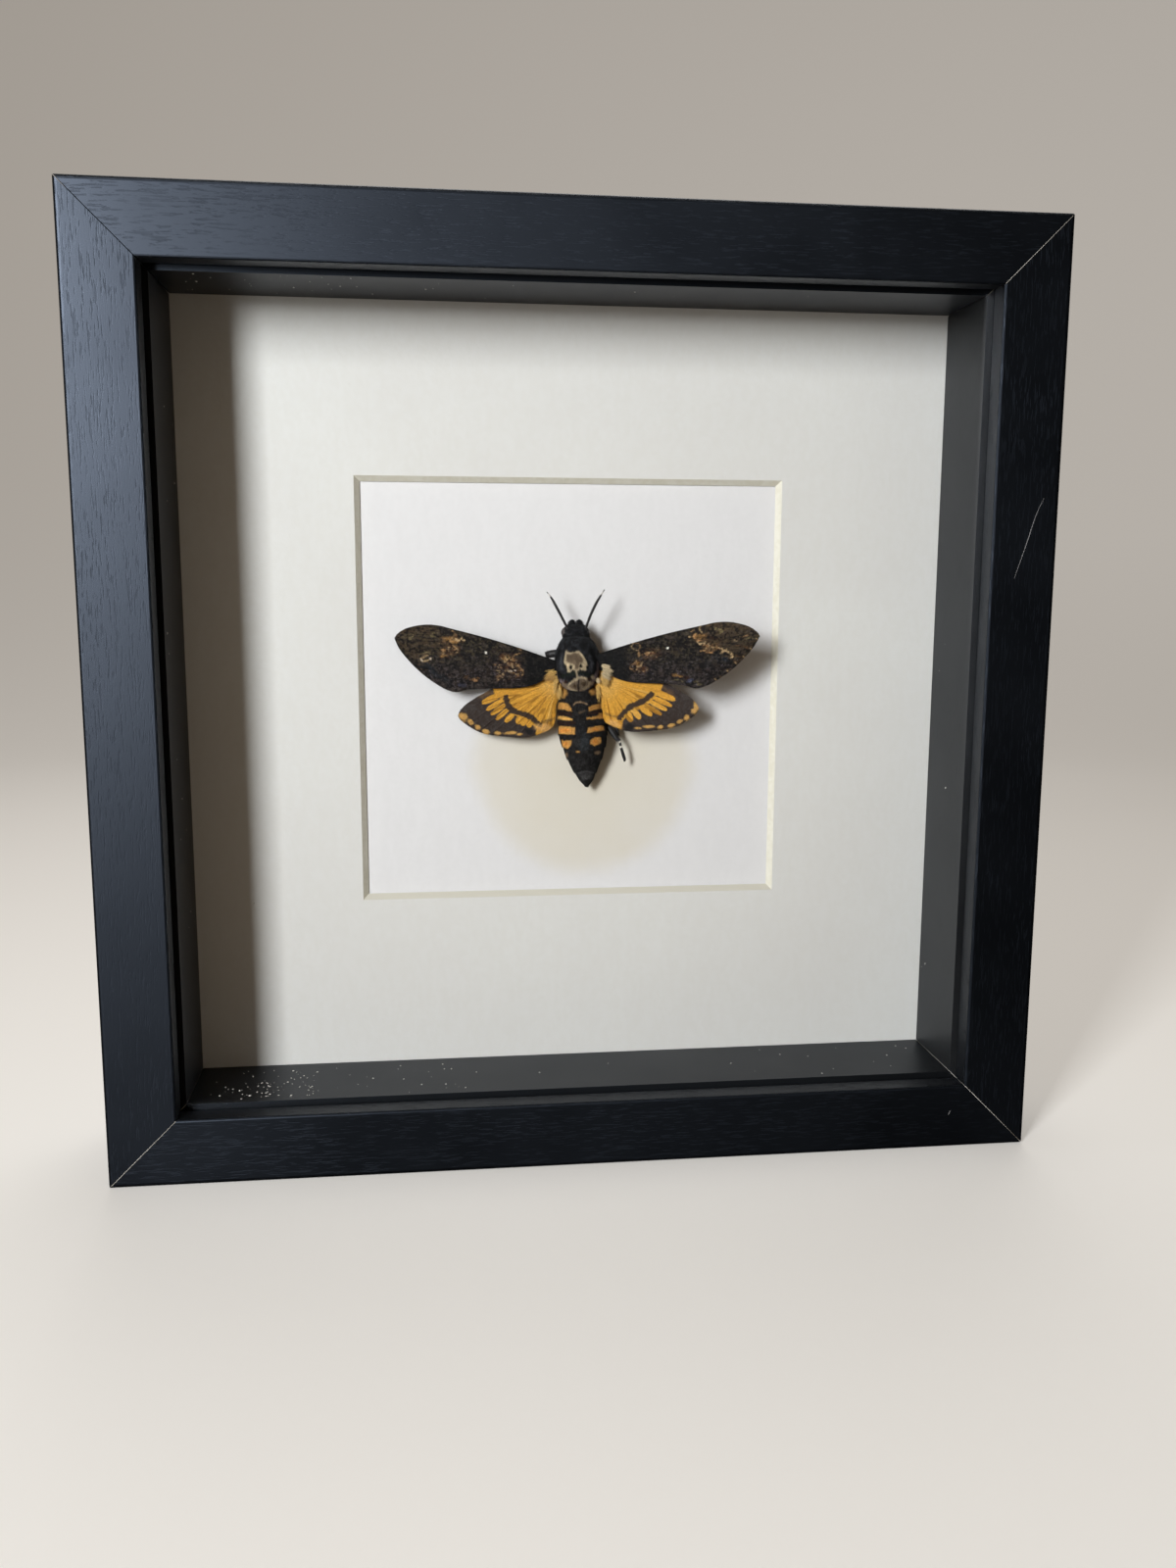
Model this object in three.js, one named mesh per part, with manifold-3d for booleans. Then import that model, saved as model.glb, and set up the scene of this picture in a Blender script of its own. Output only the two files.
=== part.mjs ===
// A death's-head hawkmoth mounted in a deep, square, glazed box frame.
// Units are millimetres. The finished group stands on its lower edge with the glass facing -Y,
// +X to the viewer's right and +Z up, and its origin is the middle of the footprint.
import * as THREE from "three";
import { mergeVertices } from "three/addons/utils/BufferGeometryUtils.js";
import Module from "manifold-3d";

const wasm = await Module();
wasm.setup();

// Frame, all seen from the front and measured in from its outer edge
const OUTER = 250; // side of the square frame
const DEPTH = 45; // front face to wall
const FACE = 18; // width of the front face
const LIP = 6; // thickness of the front lip that holds the glass
const WALL = 10; // thickness of a rail behind the lip
const OUTER_ARRIS = 1.2; // radius of the rounded outer front edge
const INNER_ARRIS = 0.6; // radius of the rounded lip edge
const GAP = 0.3; // clearance kept between pieces that touch
const MITRE_GAP = 0.2; // width of the joint line at a corner

// What the rebate holds, from the glass back
const GLASS_THICKNESS = 1.2;
const SPACER_FACE = 19.2; // inner face of the spacers, in from the outer edge
const MAT_DEPTH = 34.3; // front face of the frame to the front of the mat
const MAT_THICKNESS = 1.5;
const WINDOW_WIDTH = 119;
const WINDOW_HEIGHT = 118;
const WINDOW_RISE = 1.2; // window centre above the frame's centre
const CARD_THICKNESS = 1;
const BOARD_THICKNESS = 2.5;

// Bendable tabs and the hanger, on the back
const TAB_LENGTH = 18;
const TAB_WIDTH = 9;
const TAB_THICKNESS = 0.5;
const TAB_ROOT = 6; // length of a tab pressed into its rail
const TAB_OFFSET = 62; // tabs either side of a rail's middle
const HANGER_WIDTH = 46;
const HANGER_HEIGHT = 11;
const HANGER_THICKNESS = 0.8;
const HANGER_STANDOFF = 2.6; // how far the toothed bar stands off the board
const HANGER_RISE = 72; // centre of the hanger above the frame's centre
const HANGER_TEETH = 9;

// Heights of the stack above the back plane
const half = OUTER / 2;
const lipBack = DEPTH - LIP;
const glassTop = lipBack - GAP;
const glassBottom = glassTop - GLASS_THICKNESS;
const spacerTop = glassBottom - GAP;
const matTop = DEPTH - MAT_DEPTH;
const spacerBottom = matTop + GAP;
const matBottom = matTop - MAT_THICKNESS;
const cardTop = matBottom - GAP;
const cardBottom = cardTop - CARD_THICKNESS;
const boardTop = cardBottom - GAP;
const boardBottom = boardTop - BOARD_THICKNESS;
const tabTop = boardBottom - GAP;
const sheetHalf = half - WALL - GAP; // half side of every sheet in the rebate

// Finishes
const foil = { color: 0x15171c, roughness: 0.42, metalness: 0 };
const foilInside = { color: 0x1b1c1a, roughness: 0.55, metalness: 0 };
const glass = { color: 0xffffff, roughness: 0.03, metalness: 0, transparent: true, opacity: 0.12 };
const matPaper = { color: 0xd8d6cd, roughness: 0.95, metalness: 0 };
const cardPaper = { color: 0xe6e6e6, roughness: 0.9, metalness: 0 };
const hardboard = { color: 0x6b4a30, roughness: 0.85, metalness: 0 };
const steel = { color: 0xb9bcc0, roughness: 0.35, metalness: 1 };
const darkScales = { color: 0x1d1a18, roughness: 0.85, metalness: 0 };
const yellowScales = { color: 0xc78f2c, roughness: 0.85, metalness: 0 };
const thoraxFur = { color: 0x1a1b1f, roughness: 0.95, metalness: 0 };
const abdomenFur = { color: 0x2a2320, roughness: 0.95, metalness: 0 };
const limb = { color: 0x1c1a19, roughness: 0.7, metalness: 0 };
const driedGlue = { color: 0xd9cfae, roughness: 0.4, metalness: 0 };

// A closed body through rings of equal length, with a flat cap on each end
function loft(rings, capFaces = fan(rings[0].length)) {
  const count = rings[0].length;
  const position = rings.flat().flatMap((p) => [p.x, p.y, p.z]);
  const index = [];
  for (let r = 0; r + 1 < rings.length; r++) {
    for (let i = 0; i < count; i++) {
      const a = r * count + i;
      const b = r * count + ((i + 1) % count);
      index.push(a, b, a + count, b, b + count, a + count);
    }
  }
  const last = (rings.length - 1) * count;
  for (const [a, b, c] of capFaces) index.push(a, c, b, last + a, last + b, last + c);
  const geometry = new THREE.BufferGeometry();
  geometry.setAttribute("position", new THREE.Float32BufferAttribute(position, 3));
  geometry.setIndex(signedVolume(position, index) < 0 ? index.reverse() : index);
  return geometry;
}

// Triangles of a convex cap
function fan(count) {
  return Array.from({ length: count - 2 }, (_, i) => [0, i + 1, i + 2]);
}

// Six times the volume that the triangles enclose
function signedVolume(position, index) {
  const corner = index.map((i) => new THREE.Vector3().fromArray(position, 3 * i));
  let sum = 0;
  for (let i = 0; i < corner.length; i += 3) {
    sum += corner[i].dot(new THREE.Vector3().crossVectors(corner[i + 1], corner[i + 2]));
  }
  return sum;
}

function toSolid(geometry) {
  const bare = geometry.index ? geometry.toNonIndexed() : geometry.clone();
  bare.deleteAttribute("normal");
  bare.deleteAttribute("uv");
  const merged = mergeVertices(bare, 1e-4);
  return new wasm.Manifold(
    new wasm.Mesh({
      numProp: 3,
      vertProperties: new Float32Array(merged.attributes.position.array),
      triVerts: new Uint32Array(merged.index.array),
    }),
  );
}

function fromSolid(solid) {
  const mesh = solid.getMesh();
  const geometry = new THREE.BufferGeometry();
  geometry.setAttribute("position", new THREE.Float32BufferAttribute(mesh.vertProperties, 3));
  geometry.setIndex([...mesh.triVerts]);
  geometry.computeVertexNormals();
  return geometry;
}

function box(width, height, depth, x, y, z) {
  return new THREE.BoxGeometry(width, height, depth).translate(x, y, z);
}

function named(name, geometry, finish) {
  const mesh = new THREE.Mesh(geometry, new THREE.MeshStandardMaterial(finish));
  mesh.name = name;
  return mesh;
}

// A bar along the top side of a square, mitred at both ends. The profile is a list of
// [distance in from the outer edge, height above the back], in order round the section.
function mitredBar(profile) {
  const contour = profile.map(([inset, height]) => new THREE.Vector2(inset, height));
  const end = (side) =>
    profile.map(([inset, height]) => {
      const reach = half - inset - MITRE_GAP / Math.SQRT2;
      return new THREE.Vector3(side * reach, half - inset, height);
    });
  return loft([end(-1), end(1)], THREE.ShapeUtils.triangulateShape(contour, []));
}

// Points of a quarter round, from one corner direction to the next
function quarterRound(centreInset, centreHeight, radius, from, steps = 4) {
  return Array.from({ length: steps + 1 }, (_, i) => {
    const angle = from + (i / steps) * (Math.PI / 2);
    return [centreInset + radius * Math.cos(angle), centreHeight + radius * Math.sin(angle)];
  });
}

// The L-shaped moulding: a lip in front, and a thinner wall behind it
function railProfile() {
  return [
    [0, 0],
    [WALL, 0],
    [WALL, lipBack],
    [FACE, lipBack],
    ...quarterRound(FACE - INNER_ARRIS, DEPTH - INNER_ARRIS, INNER_ARRIS, 0, 3),
    ...quarterRound(OUTER_ARRIS, DEPTH - OUTER_ARRIS, OUTER_ARRIS, Math.PI / 2, 4),
  ];
}

const SIDES = [
  ["top", 0],
  ["left", Math.PI / 2],
  ["bottom", Math.PI],
  ["right", -Math.PI / 2],
];

function addFrame(display) {
  const tabSlots = [-1, 1].map((side) =>
    toSolid(
      box(
        TAB_WIDTH + 2 * GAP,
        TAB_ROOT + GAP,
        TAB_THICKNESS + 2 * GAP,
        side * TAB_OFFSET,
        half - WALL + (TAB_ROOT + GAP) / 2,
        tabTop - TAB_THICKNESS / 2,
      ),
    ),
  );
  const slotted = tabSlots.reduce(
    (rail, slot) => rail.subtract(slot),
    toSolid(mitredBar(railProfile())),
  );
  const spacerProfile = [
    [WALL + GAP, spacerBottom],
    [SPACER_FACE, spacerBottom],
    [SPACER_FACE, spacerTop],
    [WALL + GAP, spacerTop],
  ];
  for (const [side, turn] of SIDES) {
    const quarter = new THREE.Group();
    quarter.rotation.z = turn;
    quarter.add(named("rail_" + side, fromSolid(slotted), foil));
    quarter.add(named("spacer_" + side, mitredBar(spacerProfile), foilInside));
    [-1, 1].forEach((hand, i) => {
      const tab = box(
        TAB_WIDTH,
        TAB_LENGTH,
        TAB_THICKNESS,
        hand * TAB_OFFSET,
        half - WALL + TAB_ROOT - TAB_LENGTH / 2,
        tabTop - TAB_THICKNESS / 2,
      );
      quarter.add(named("tab_" + side + "_" + (i + 1), tab, steel));
    });
    display.add(quarter);
  }
}

function sheet(top, thickness) {
  return box(2 * sheetHalf, 2 * sheetHalf, thickness, 0, 0, top - thickness / 2);
}

// The window is cut at 45 degrees, so that its bevel faces the viewer
function matBoard() {
  const spill = 1; // the cutter passes both faces by this much
  const edge = (height) => {
    const w = WINDOW_WIDTH / 2 + (height - matTop);
    const h = WINDOW_HEIGHT / 2 + (height - matTop);
    return [
      [-w, -h],
      [w, -h],
      [w, h],
      [-w, h],
    ].map(([x, y]) => new THREE.Vector3(x, y + WINDOW_RISE, height));
  };
  const cutter = toSolid(loft([edge(matBottom - spill), edge(matTop + spill)]));
  return fromSolid(toSolid(sheet(matTop, MAT_THICKNESS)).subtract(cutter));
}

// A pressed sawtooth hanger: two feet on the board and a toothed bar that stands off it
function sawtoothHanger() {
  const footLength = 9;
  const rampLength = 3;
  const w = HANGER_WIDTH / 2;
  const t = HANGER_THICKNESS;
  const foot = boardBottom - GAP;
  const bar = foot - HANGER_STANDOFF;
  const outline = new THREE.Shape(
    [
      [-w, foot],
      [-w, foot - t],
      [-w + footLength, foot - t],
      [-w + footLength + rampLength, bar - t],
      [w - footLength - rampLength, bar - t],
      [w - footLength, foot - t],
      [w, foot - t],
      [w, foot],
      [w - footLength, foot],
      [w - footLength - rampLength, bar],
      [-w + footLength + rampLength, bar],
      [-w + footLength, foot],
    ].map(([x, y]) => new THREE.Vector2(x, y)),
  );
  const strip = new THREE.ExtrudeGeometry(outline, { depth: HANGER_HEIGHT, bevelEnabled: false });
  strip.rotateX(Math.PI / 2).translate(0, HANGER_RISE + HANGER_HEIGHT / 2, 0);
  const span = HANGER_WIDTH - 2 * (footLength + rampLength);
  const pitch = span / HANGER_TEETH;
  const toothDepth = 1.6;
  const teeth = Array.from({ length: HANGER_TEETH }, (_, i) => {
    const x = -span / 2 + (i + 0.5) * pitch;
    const y = HANGER_RISE - HANGER_HEIGHT / 2;
    const notch = new THREE.Shape([
      new THREE.Vector2(x - pitch * 0.45, y - 1),
      new THREE.Vector2(x + pitch * 0.45, y - 1),
      new THREE.Vector2(x, y + toothDepth),
    ]);
    return toSolid(
      new THREE.ExtrudeGeometry(notch, { depth: 4 * t, bevelEnabled: false }).translate(0, 0, bar - 3 * t),
    );
  });
  return fromSolid(teeth.reduce((plate, tooth) => plate.subtract(tooth), toSolid(strip)));
}

function addGlazingAndBack(display) {
  display.add(named("glass_pane", sheet(glassTop, GLASS_THICKNESS), glass));
  display.add(named("mat_board", matBoard(), matPaper));
  display.add(named("specimen_card", sheet(cardTop, CARD_THICKNESS), cardPaper));
  display.add(named("backing_board", sheet(boardTop, BOARD_THICKNESS), hardboard));
  display.add(named("sawtooth_hanger", sawtoothHanger(), steel));
}

// The moth. Places are x and y from the frame's centre, and heights are above the card.

// Wing outlines from the hinge, as [out along the wing, forward]
const FOREWING = {
  leading: [
    [-2, 1.6], [1.5, 2.7], [8.9, 5.1], [18.7, 7.9], [28.4, 10.2],
    [32, 11], [36, 11.1], [40.5, 10.1], [42.9, 8.6], [43.7, 7.6],
  ],
  trailing: [
    [-2, -1.6], [1.5, -2.6], [5.5, -4.6], [10, -5.6], [17, -5.9], [23.7, -6.4],
    [27.2, -7.1], [31.3, -5.7], [37.3, -1.4], [42.1, 3.8], [43.7, 6.9],
  ],
  thickness: 0.55,
};
const HINDWING = {
  leading: [
    [-2, 2.8], [6, 2.6], [12, 1.4], [16.5, -0.3], [20.3, -2.2],
    [23, -3.8], [25.2, -5.3], [26.5, -6.8], [27, -7.9],
  ],
  trailing: [
    [-2, -1.5], [0, -5], [0.3, -9], [1.2, -11.6], [3.9, -13.1], [8.2, -14.4],
    [14.4, -14.1], [20.2, -13.2], [23.7, -11.5], [26.3, -9.6], [27, -8.4],
  ],
  thickness: 0.5,
};

// How each wing sits: hinge place, swing of its outline, and its height along and across.
// The moth is mounted a little rolled, so that its right wings stand higher.
const WINGS = [
  {
    name: "forewing_left", form: FOREWING, side: -1, hinge: [-5.5, 8.2], swing: 1.3,
    root: 8.4, rise: -3, arch: 0.5, droop: 0.6,
  },
  {
    name: "forewing_right", form: FOREWING, side: 1, hinge: [6.5, 10], swing: 0,
    root: 9.6, rise: 6.2, arch: 0.6, droop: 1.2,
  },
  {
    name: "hindwing_left", form: HINDWING, side: -1, hinge: [-4.9, 3.2], swing: 0,
    root: 6.6, rise: -2.2, arch: 0.4, droop: 1.1,
  },
  {
    name: "hindwing_right", form: HINDWING, side: 1, hinge: [7.7, 4.9], swing: 0,
    root: 8.2, rise: 2.2, arch: 0.4, droop: 1.1,
  },
];

// Sections of the body as [y, centre x, half width, top height, bottom height]
const THORAX = [
  [17.4, 0.8, 1.8, 8.4, 4.6],
  [16.4, 0.8, 3.6, 10, 3],
  [14.8, 0.9, 5, 11.6, 1.9],
  [12.4, 0.95, 6, 12.5, 1.4],
  [9.6, 1, 6.3, 12.9, 1.2],
  [6.8, 1.1, 6.2, 12.4, 1.2],
  [4.4, 1.3, 5.3, 11.2, 1.4],
  [2.6, 1.4, 3.8, 9.6, 2.4],
  [1.6, 1.4, 1.6, 7.8, 4.4],
];
const HEAD = [
  [20.3, 0.6, 1.5, 7.2, 4.8],
  [19.7, 0.6, 2.6, 8.2, 3.9],
  [18.6, 0.6, 3.5, 9, 3],
  [17, 0.7, 3.8, 9.4, 2.6],
  [15.2, 0.8, 3.4, 9, 3],
];
const ABDOMEN = [
  [3.4, 1.6, 4.6, 8.6, 1.8],
  [0, 1.8, 5.8, 9.3, 1.1],
  [-4, 2.2, 6.6, 9.6, 1],
  [-8.2, 2.6, 7, 9.4, 1],
  [-11.4, 2.9, 6.9, 8.8, 1],
  [-14.8, 3.2, 6, 8, 1.1],
  [-18, 3.4, 4.9, 7, 1.3],
  [-21, 3.6, 3.5, 6.1, 1.8],
  [-23.7, 3.9, 2.2, 5.2, 2.6],
  [-25.5, 4.1, 0.7, 4.4, 3.4],
];
const SEGMENT_ENDS = [3.4, -1.2, -4.6, -7.6, -10.8, -14.2, -17.8, -21.6, -25.5]; // y of the joints
const SEGMENT_STEP = 0.28; // how far each segment's rear edge stands over the next segment

// The dab of glue that fixes the thorax to the card
const GLUE_RADIUS = 3;
const GLUE_SPREAD = 0.4;
const GLUE_THICKNESS = 0.6;
const GLUE_PLACE = [1, 9];

// A smooth curve through a list of [u, v] points
function smoothLine(points) {
  return new THREE.SplineCurve(points.map(([u, v]) => new THREE.Vector2(u, v)));
}

// A thin cambered blade between the leading and trailing outlines
function wing({ form, side, hinge, swing, root, rise, arch, droop }, spanSteps, chordSteps) {
  const leading = smoothLine(form.leading).getSpacedPoints(spanSteps);
  const trailing = smoothLine(form.trailing).getSpacedPoints(spanSteps);
  const span = Math.max(...form.leading.map(([u]) => u));
  const turn = THREE.MathUtils.degToRad(swing);
  const edge = 0.35; // share of the thickness left at the rim
  const surface = (i, s, face) => {
    const flat = leading[i].clone().lerp(trailing[i], s);
    const out = Math.max(flat.x, 0) / span;
    const middle = root + rise * out + arch * Math.sin(Math.PI * s) - droop * s * (1 - 0.5 * out);
    const skin = (form.thickness / 2) * (edge + (1 - edge) * Math.sin(Math.PI * s));
    flat.rotateAround(new THREE.Vector2(), turn);
    return new THREE.Vector3(hinge[0] + side * flat.x, hinge[1] + flat.y, middle + face * skin);
  };
  const rings = leading.map((_, i) => [
    ...Array.from({ length: chordSteps + 1 }, (_, k) => surface(i, k / chordSteps, 1)),
    ...Array.from({ length: chordSteps + 1 }, (_, k) => surface(i, 1 - k / chordSteps, -1)),
  ]);
  return loft(rings);
}

// A station's number at a share of the way along, on a smooth curve through all the stations
function stationAt(stations, share) {
  const at = share * (stations.length - 1);
  const i = Math.min(Math.floor(at), stations.length - 2);
  const pick = (k) => stations[THREE.MathUtils.clamp(k, 0, stations.length - 1)];
  const f = at - i;
  return pick(i).map((_, n) => {
    const [a, b, c, d] = [pick(i - 1), pick(i), pick(i + 1), pick(i + 2)].map((s) => s[n]);
    const slope = (c - a) * f;
    const bend = (2 * a - 5 * b + 4 * c - d) * f * f;
    const twist = (3 * b - a - 3 * c + d) * f * f * f;
    return 0.5 * (2 * b + slope + bend + twist);
  });
}

// The station at one place along the body, found by halving, because y falls steadily
function stationAtY(stations, y) {
  let front = 0;
  let back = 1;
  for (let i = 0; i < 24; i++) {
    const middle = (front + back) / 2;
    if (stationAt(stations, middle)[0] > y) front = middle;
    else back = middle;
  }
  return stationAt(stations, back);
}

// A body through stations, its section an ellipse, grown all round by a clearance
function bodyForm(stations, sides, grow = 0) {
  const rings = stations.map(([y, x, halfWidth, top, bottom], k) => {
    const end = k === 0 ? grow : k === stations.length - 1 ? -grow : 0;
    const middle = (top + bottom) / 2;
    const halfHeight = (top - bottom) / 2 + grow;
    return Array.from({ length: sides }, (_, i) => {
      const angle = (i / sides) * 2 * Math.PI;
      const across = x + (halfWidth + grow) * Math.cos(angle);
      return new THREE.Vector3(across, y + end, middle + halfHeight * Math.sin(angle));
    });
  });
  return toSolid(loft(rings));
}

function smoothStations(stations, steps) {
  return Array.from({ length: steps + 1 }, (_, i) => stationAt(stations, i / steps));
}

// Each abdominal segment swells towards its rear edge, which laps over the next segment
function segmentedStations(stations) {
  const lap = 0.2; // length of the step down to the next segment
  const swollen = (y, swell) => {
    const [, x, halfWidth, top, bottom] = stationAtY(stations, y);
    return [y, x, halfWidth + swell, top + swell, bottom];
  };
  const rings = [];
  for (let k = 0; k + 1 < SEGMENT_ENDS.length; k++) {
    const start = SEGMENT_ENDS[k] - (k > 0 ? lap : 0);
    const end = SEGMENT_ENDS[k + 1];
    const last = k + 2 === SEGMENT_ENDS.length;
    rings.push(swollen(start, 0));
    rings.push(swollen((start + end) / 2, last ? 0 : 0.7 * SEGMENT_STEP));
    rings.push(swollen(end, last ? 0 : SEGMENT_STEP));
  }
  return rings;
}

// A round limb that follows points of [x, y, height, radius]
function limbSolid(points, sides, stepsPerSpan = 3) {
  const offCard = new THREE.Vector3(0, 0, 1);
  const path = new THREE.CatmullRomCurve3(points.map(([x, y, z]) => new THREE.Vector3(x, y, z)));
  const count = (points.length - 1) * stepsPerSpan;
  const rings = [];
  for (let i = 0; i <= count; i++) {
    const along = (i / count) * (points.length - 1);
    const k = Math.min(Math.floor(along), points.length - 2);
    const radius = THREE.MathUtils.lerp(points[k][3], points[k + 1][3], along - k);
    const centre = path.getPoint(i / count);
    const forward = path.getTangent(i / count);
    const across = new THREE.Vector3().crossVectors(forward, offCard).normalize();
    const up = new THREE.Vector3().crossVectors(across, forward);
    rings.push(
      Array.from({ length: sides }, (_, j) => {
        const angle = (j / sides) * 2 * Math.PI;
        return centre
          .clone()
          .addScaledVector(across, radius * Math.cos(angle))
          .addScaledVector(up, radius * Math.sin(angle));
      }),
    );
  }
  return toSolid(loft(rings));
}

function ball(x, y, z, rx, ry, rz) {
  return toSolid(new THREE.SphereGeometry(1, 10, 7).scale(rx, ry, rz).translate(x, y, z));
}

function headSolid(grow) {
  const eye = [1.5, 1.7, 1.9].map((r) => r + grow);
  const palp = [1.3, 1.3, 1.5].map((r) => r + grow);
  return bodyForm(smoothStations(HEAD, 7), 16, grow)
    .add(ball(-2.2, 18, 6, ...eye))
    .add(ball(3.3, 18, 6, ...eye))
    .add(ball(-0.4, 20, 6, ...palp))
    .add(ball(1.6, 20, 6, ...palp));
}

// Limbs as [x, y, height, radius]
const ANTENNA_LEFT = [
  [-1.4, 18.4, 7.6, 0.42],
  [-2.4, 20.2, 8, 0.4],
  [-3.9, 23, 8.3, 0.42],
  [-5.3, 25.6, 8.4, 0.42],
  [-6.5, 27.7, 8.2, 0.28],
  [-7.6, 29.1, 7.8, 0.12],
];
const ANTENNA_RIGHT = [
  [3, 18.4, 7.6, 0.42],
  [3.6, 20.4, 8.2, 0.4],
  [4.6, 23.2, 8.8, 0.42],
  [5.9, 26, 9.2, 0.42],
  [7.3, 28.4, 9.4, 0.28],
  [8.2, 29.8, 9.3, 0.12],
];
const HINDLEG_RIGHT = [
  [7.4, -6.2, 3.6, 0.9],
  [10.4, -9, 4.2, 0.95],
  [12.2, -11.6, 4.8, 0.8],
  [13.2, -12.7, 4.9, 0.42],
  [13.8, -14.6, 4.7, 0.42],
  [14.6, -17, 4.2, 0.5],
  [15, -18.3, 3.8, 0.4],
  [14.6, -18.9, 3.5, 0.16],
];
const MIDLEG_RIGHT = [
  [8.4, -3.6, 2.4, 0.6],
  [11.2, -6.6, 2.7, 0.6],
  [12.6, -9, 3, 0.55],
  [13, -11, 3.1, 0.45],
];
const FORELEG_LEFT = [
  [-3.4, 12.3, 5.4, 1.1],
  [-5.2, 12.1, 5, 1.2],
  [-6.5, 11.9, 4.8, 1.2],
  [-7.3, 11.8, 4.7, 0.8],
];

// The flattened drop between the thorax and the card
function glueDab() {
  const dab = new THREE.CylinderGeometry(GLUE_RADIUS, GLUE_RADIUS + GLUE_SPREAD, GLUE_THICKNESS, 16);
  return dab.rotateX(Math.PI / 2).translate(...GLUE_PLACE, GAP + GLUE_THICKNESS / 2);
}

function addMoth(display) {
  const moth = new THREE.Group();
  moth.position.z = cardTop;
  const thoraxStations = smoothStations(THORAX, 14);
  const thorax = bodyForm(thoraxStations, 20);
  const thoraxRoom = bodyForm(thoraxStations, 20, GAP);
  const abdomenStations = segmentedStations(ABDOMEN);
  const abdomenRoom = bodyForm(abdomenStations, 20, GAP);
  const abdomen = bodyForm(abdomenStations, 20).subtract(thoraxRoom);
  const head = headSolid(0).subtract(thoraxRoom);
  const headRoom = headSolid(GAP);
  moth.add(named("moth_thorax", fromSolid(thorax), thoraxFur));
  moth.add(named("moth_head", fromSolid(head), thoraxFur));
  moth.add(named("moth_abdomen", fromSolid(abdomen), abdomenFur));
  for (const place of WINGS) {
    const fore = place.form === FOREWING;
    const blade = toSolid(wing(place, 22, fore ? 8 : 7));
    const cut = blade.subtract(thoraxRoom).subtract(abdomenRoom);
    moth.add(named(place.name, fromSolid(cut), fore ? darkScales : yellowScales));
  }
  const limbs = [
    ["antenna_left", ANTENNA_LEFT, 8],
    ["antenna_right", ANTENNA_RIGHT, 8],
    ["hindleg_right", HINDLEG_RIGHT, 8],
    ["midleg_right", MIDLEG_RIGHT, 8],
    ["foreleg_left", FORELEG_LEFT, 10],
  ];
  for (const [name, points, sides] of limbs) {
    const cut = limbSolid(points, sides).subtract(thoraxRoom).subtract(headRoom).subtract(abdomenRoom);
    moth.add(named(name, fromSolid(cut), limb));
  }
  moth.add(named("glue_dab", glueDab(), driedGlue));
  display.add(moth);
}

const display = new THREE.Group();
addFrame(display);
addGlazingAndBack(display);
addMoth(display);
display.rotation.x = Math.PI / 2;
display.position.set(0, DEPTH / 2, half);

const framedMoth = new THREE.Group();
framedMoth.add(display);
export default framedMoth;
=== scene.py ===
"""A death's-head hawkmoth in a deep black box frame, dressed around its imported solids.

Lengths are millimetres until a mesh is made, which turns them to metres. The lamps, the stage and
the shaders' depths are metres. The moth is drawn in the picture's own frame: x to the right and
y up from the middle, and h off the white card.
"""

import math

import bpy
import numpy as np
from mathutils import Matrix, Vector


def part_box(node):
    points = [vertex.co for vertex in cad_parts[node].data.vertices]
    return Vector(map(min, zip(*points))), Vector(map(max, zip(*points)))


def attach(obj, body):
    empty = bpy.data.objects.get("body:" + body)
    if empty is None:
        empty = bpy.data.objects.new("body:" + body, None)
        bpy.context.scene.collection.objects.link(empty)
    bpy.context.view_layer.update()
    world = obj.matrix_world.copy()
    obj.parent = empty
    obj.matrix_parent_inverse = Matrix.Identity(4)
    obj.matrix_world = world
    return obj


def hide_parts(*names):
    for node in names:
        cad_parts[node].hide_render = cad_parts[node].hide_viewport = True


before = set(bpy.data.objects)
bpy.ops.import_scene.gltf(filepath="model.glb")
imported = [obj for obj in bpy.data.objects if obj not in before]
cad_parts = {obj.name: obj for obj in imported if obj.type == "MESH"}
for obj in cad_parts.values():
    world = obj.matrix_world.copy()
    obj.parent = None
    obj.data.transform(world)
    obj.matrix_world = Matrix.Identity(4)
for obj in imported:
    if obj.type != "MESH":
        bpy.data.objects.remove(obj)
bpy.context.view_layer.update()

MM = 0.001
MIDDLE_HEIGHT = 125.0
CARD_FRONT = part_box("specimen_card")[0].y / MM
CARD_DEPTH = CARD_FRONT + 22.5  # behind the frame's front face

# The photograph's camera
CAMERA_X = -39.8
CAMERA_RISE = 32.4  # above the middle of the frame
CAMERA_DISTANCE = 331.3  # in front of the frame's front face
CAMERA_PITCH = 8.98  # degrees down
CAMERA_YAW = 6.86  # degrees to the right
CAMERA_ROLL = 0.88
CAMERA_LENS = 29.87  # for a sensor of 36 mm along the picture's long side

# The daylight from a window up to the left
WINDOW_DIRECTION = Vector((-0.71, -1.0, 0.41))
WINDOW_DISTANCE = 1.125
WINDOW_SIZE = (0.2, 0.42)
WINDOW_POWER = 3.2
WINDOW_BEAM = 86
WINDOW_AIM = (-0.05, 0.0, 0.25)
LOW_DIRECTION = Vector((-0.72, -1.0, 0.07))  # the window's light off the floor below it
LOW_SIZE = (0.2, 0.66)
LOW_POWER = 0.76

# The sky, which is seen as a sheen on glossy surfaces and gives no other light
SHEEN_DIRECTION = Vector((-0.57, -1.0, 0.16))
SHEEN_DISTANCE = 1.011
SHEEN_SIZE = (0.12, 0.6)
SHEEN_POWER = 3.4
SHEEN_BEAM = 118

# A fill from behind and above, and the dim warm room all round
FILL_DIRECTION = Vector((0.1, 0.55, 1.0))
FILL_DISTANCE = 1.6
FILL_SIZE = (1.2, 1.2)
FILL_POWER = 3.0
FILL_BEAM = 80
FILL_COLOUR = (1.0, 0.99, 0.97)
DAYLIGHT = (0.98, 0.99, 1.0)
ROOM_COLOUR = (1.0, 0.78, 0.56, 1.0)
ROOM_STRENGTH = 0.175


# Curves, noise and masks

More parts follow.
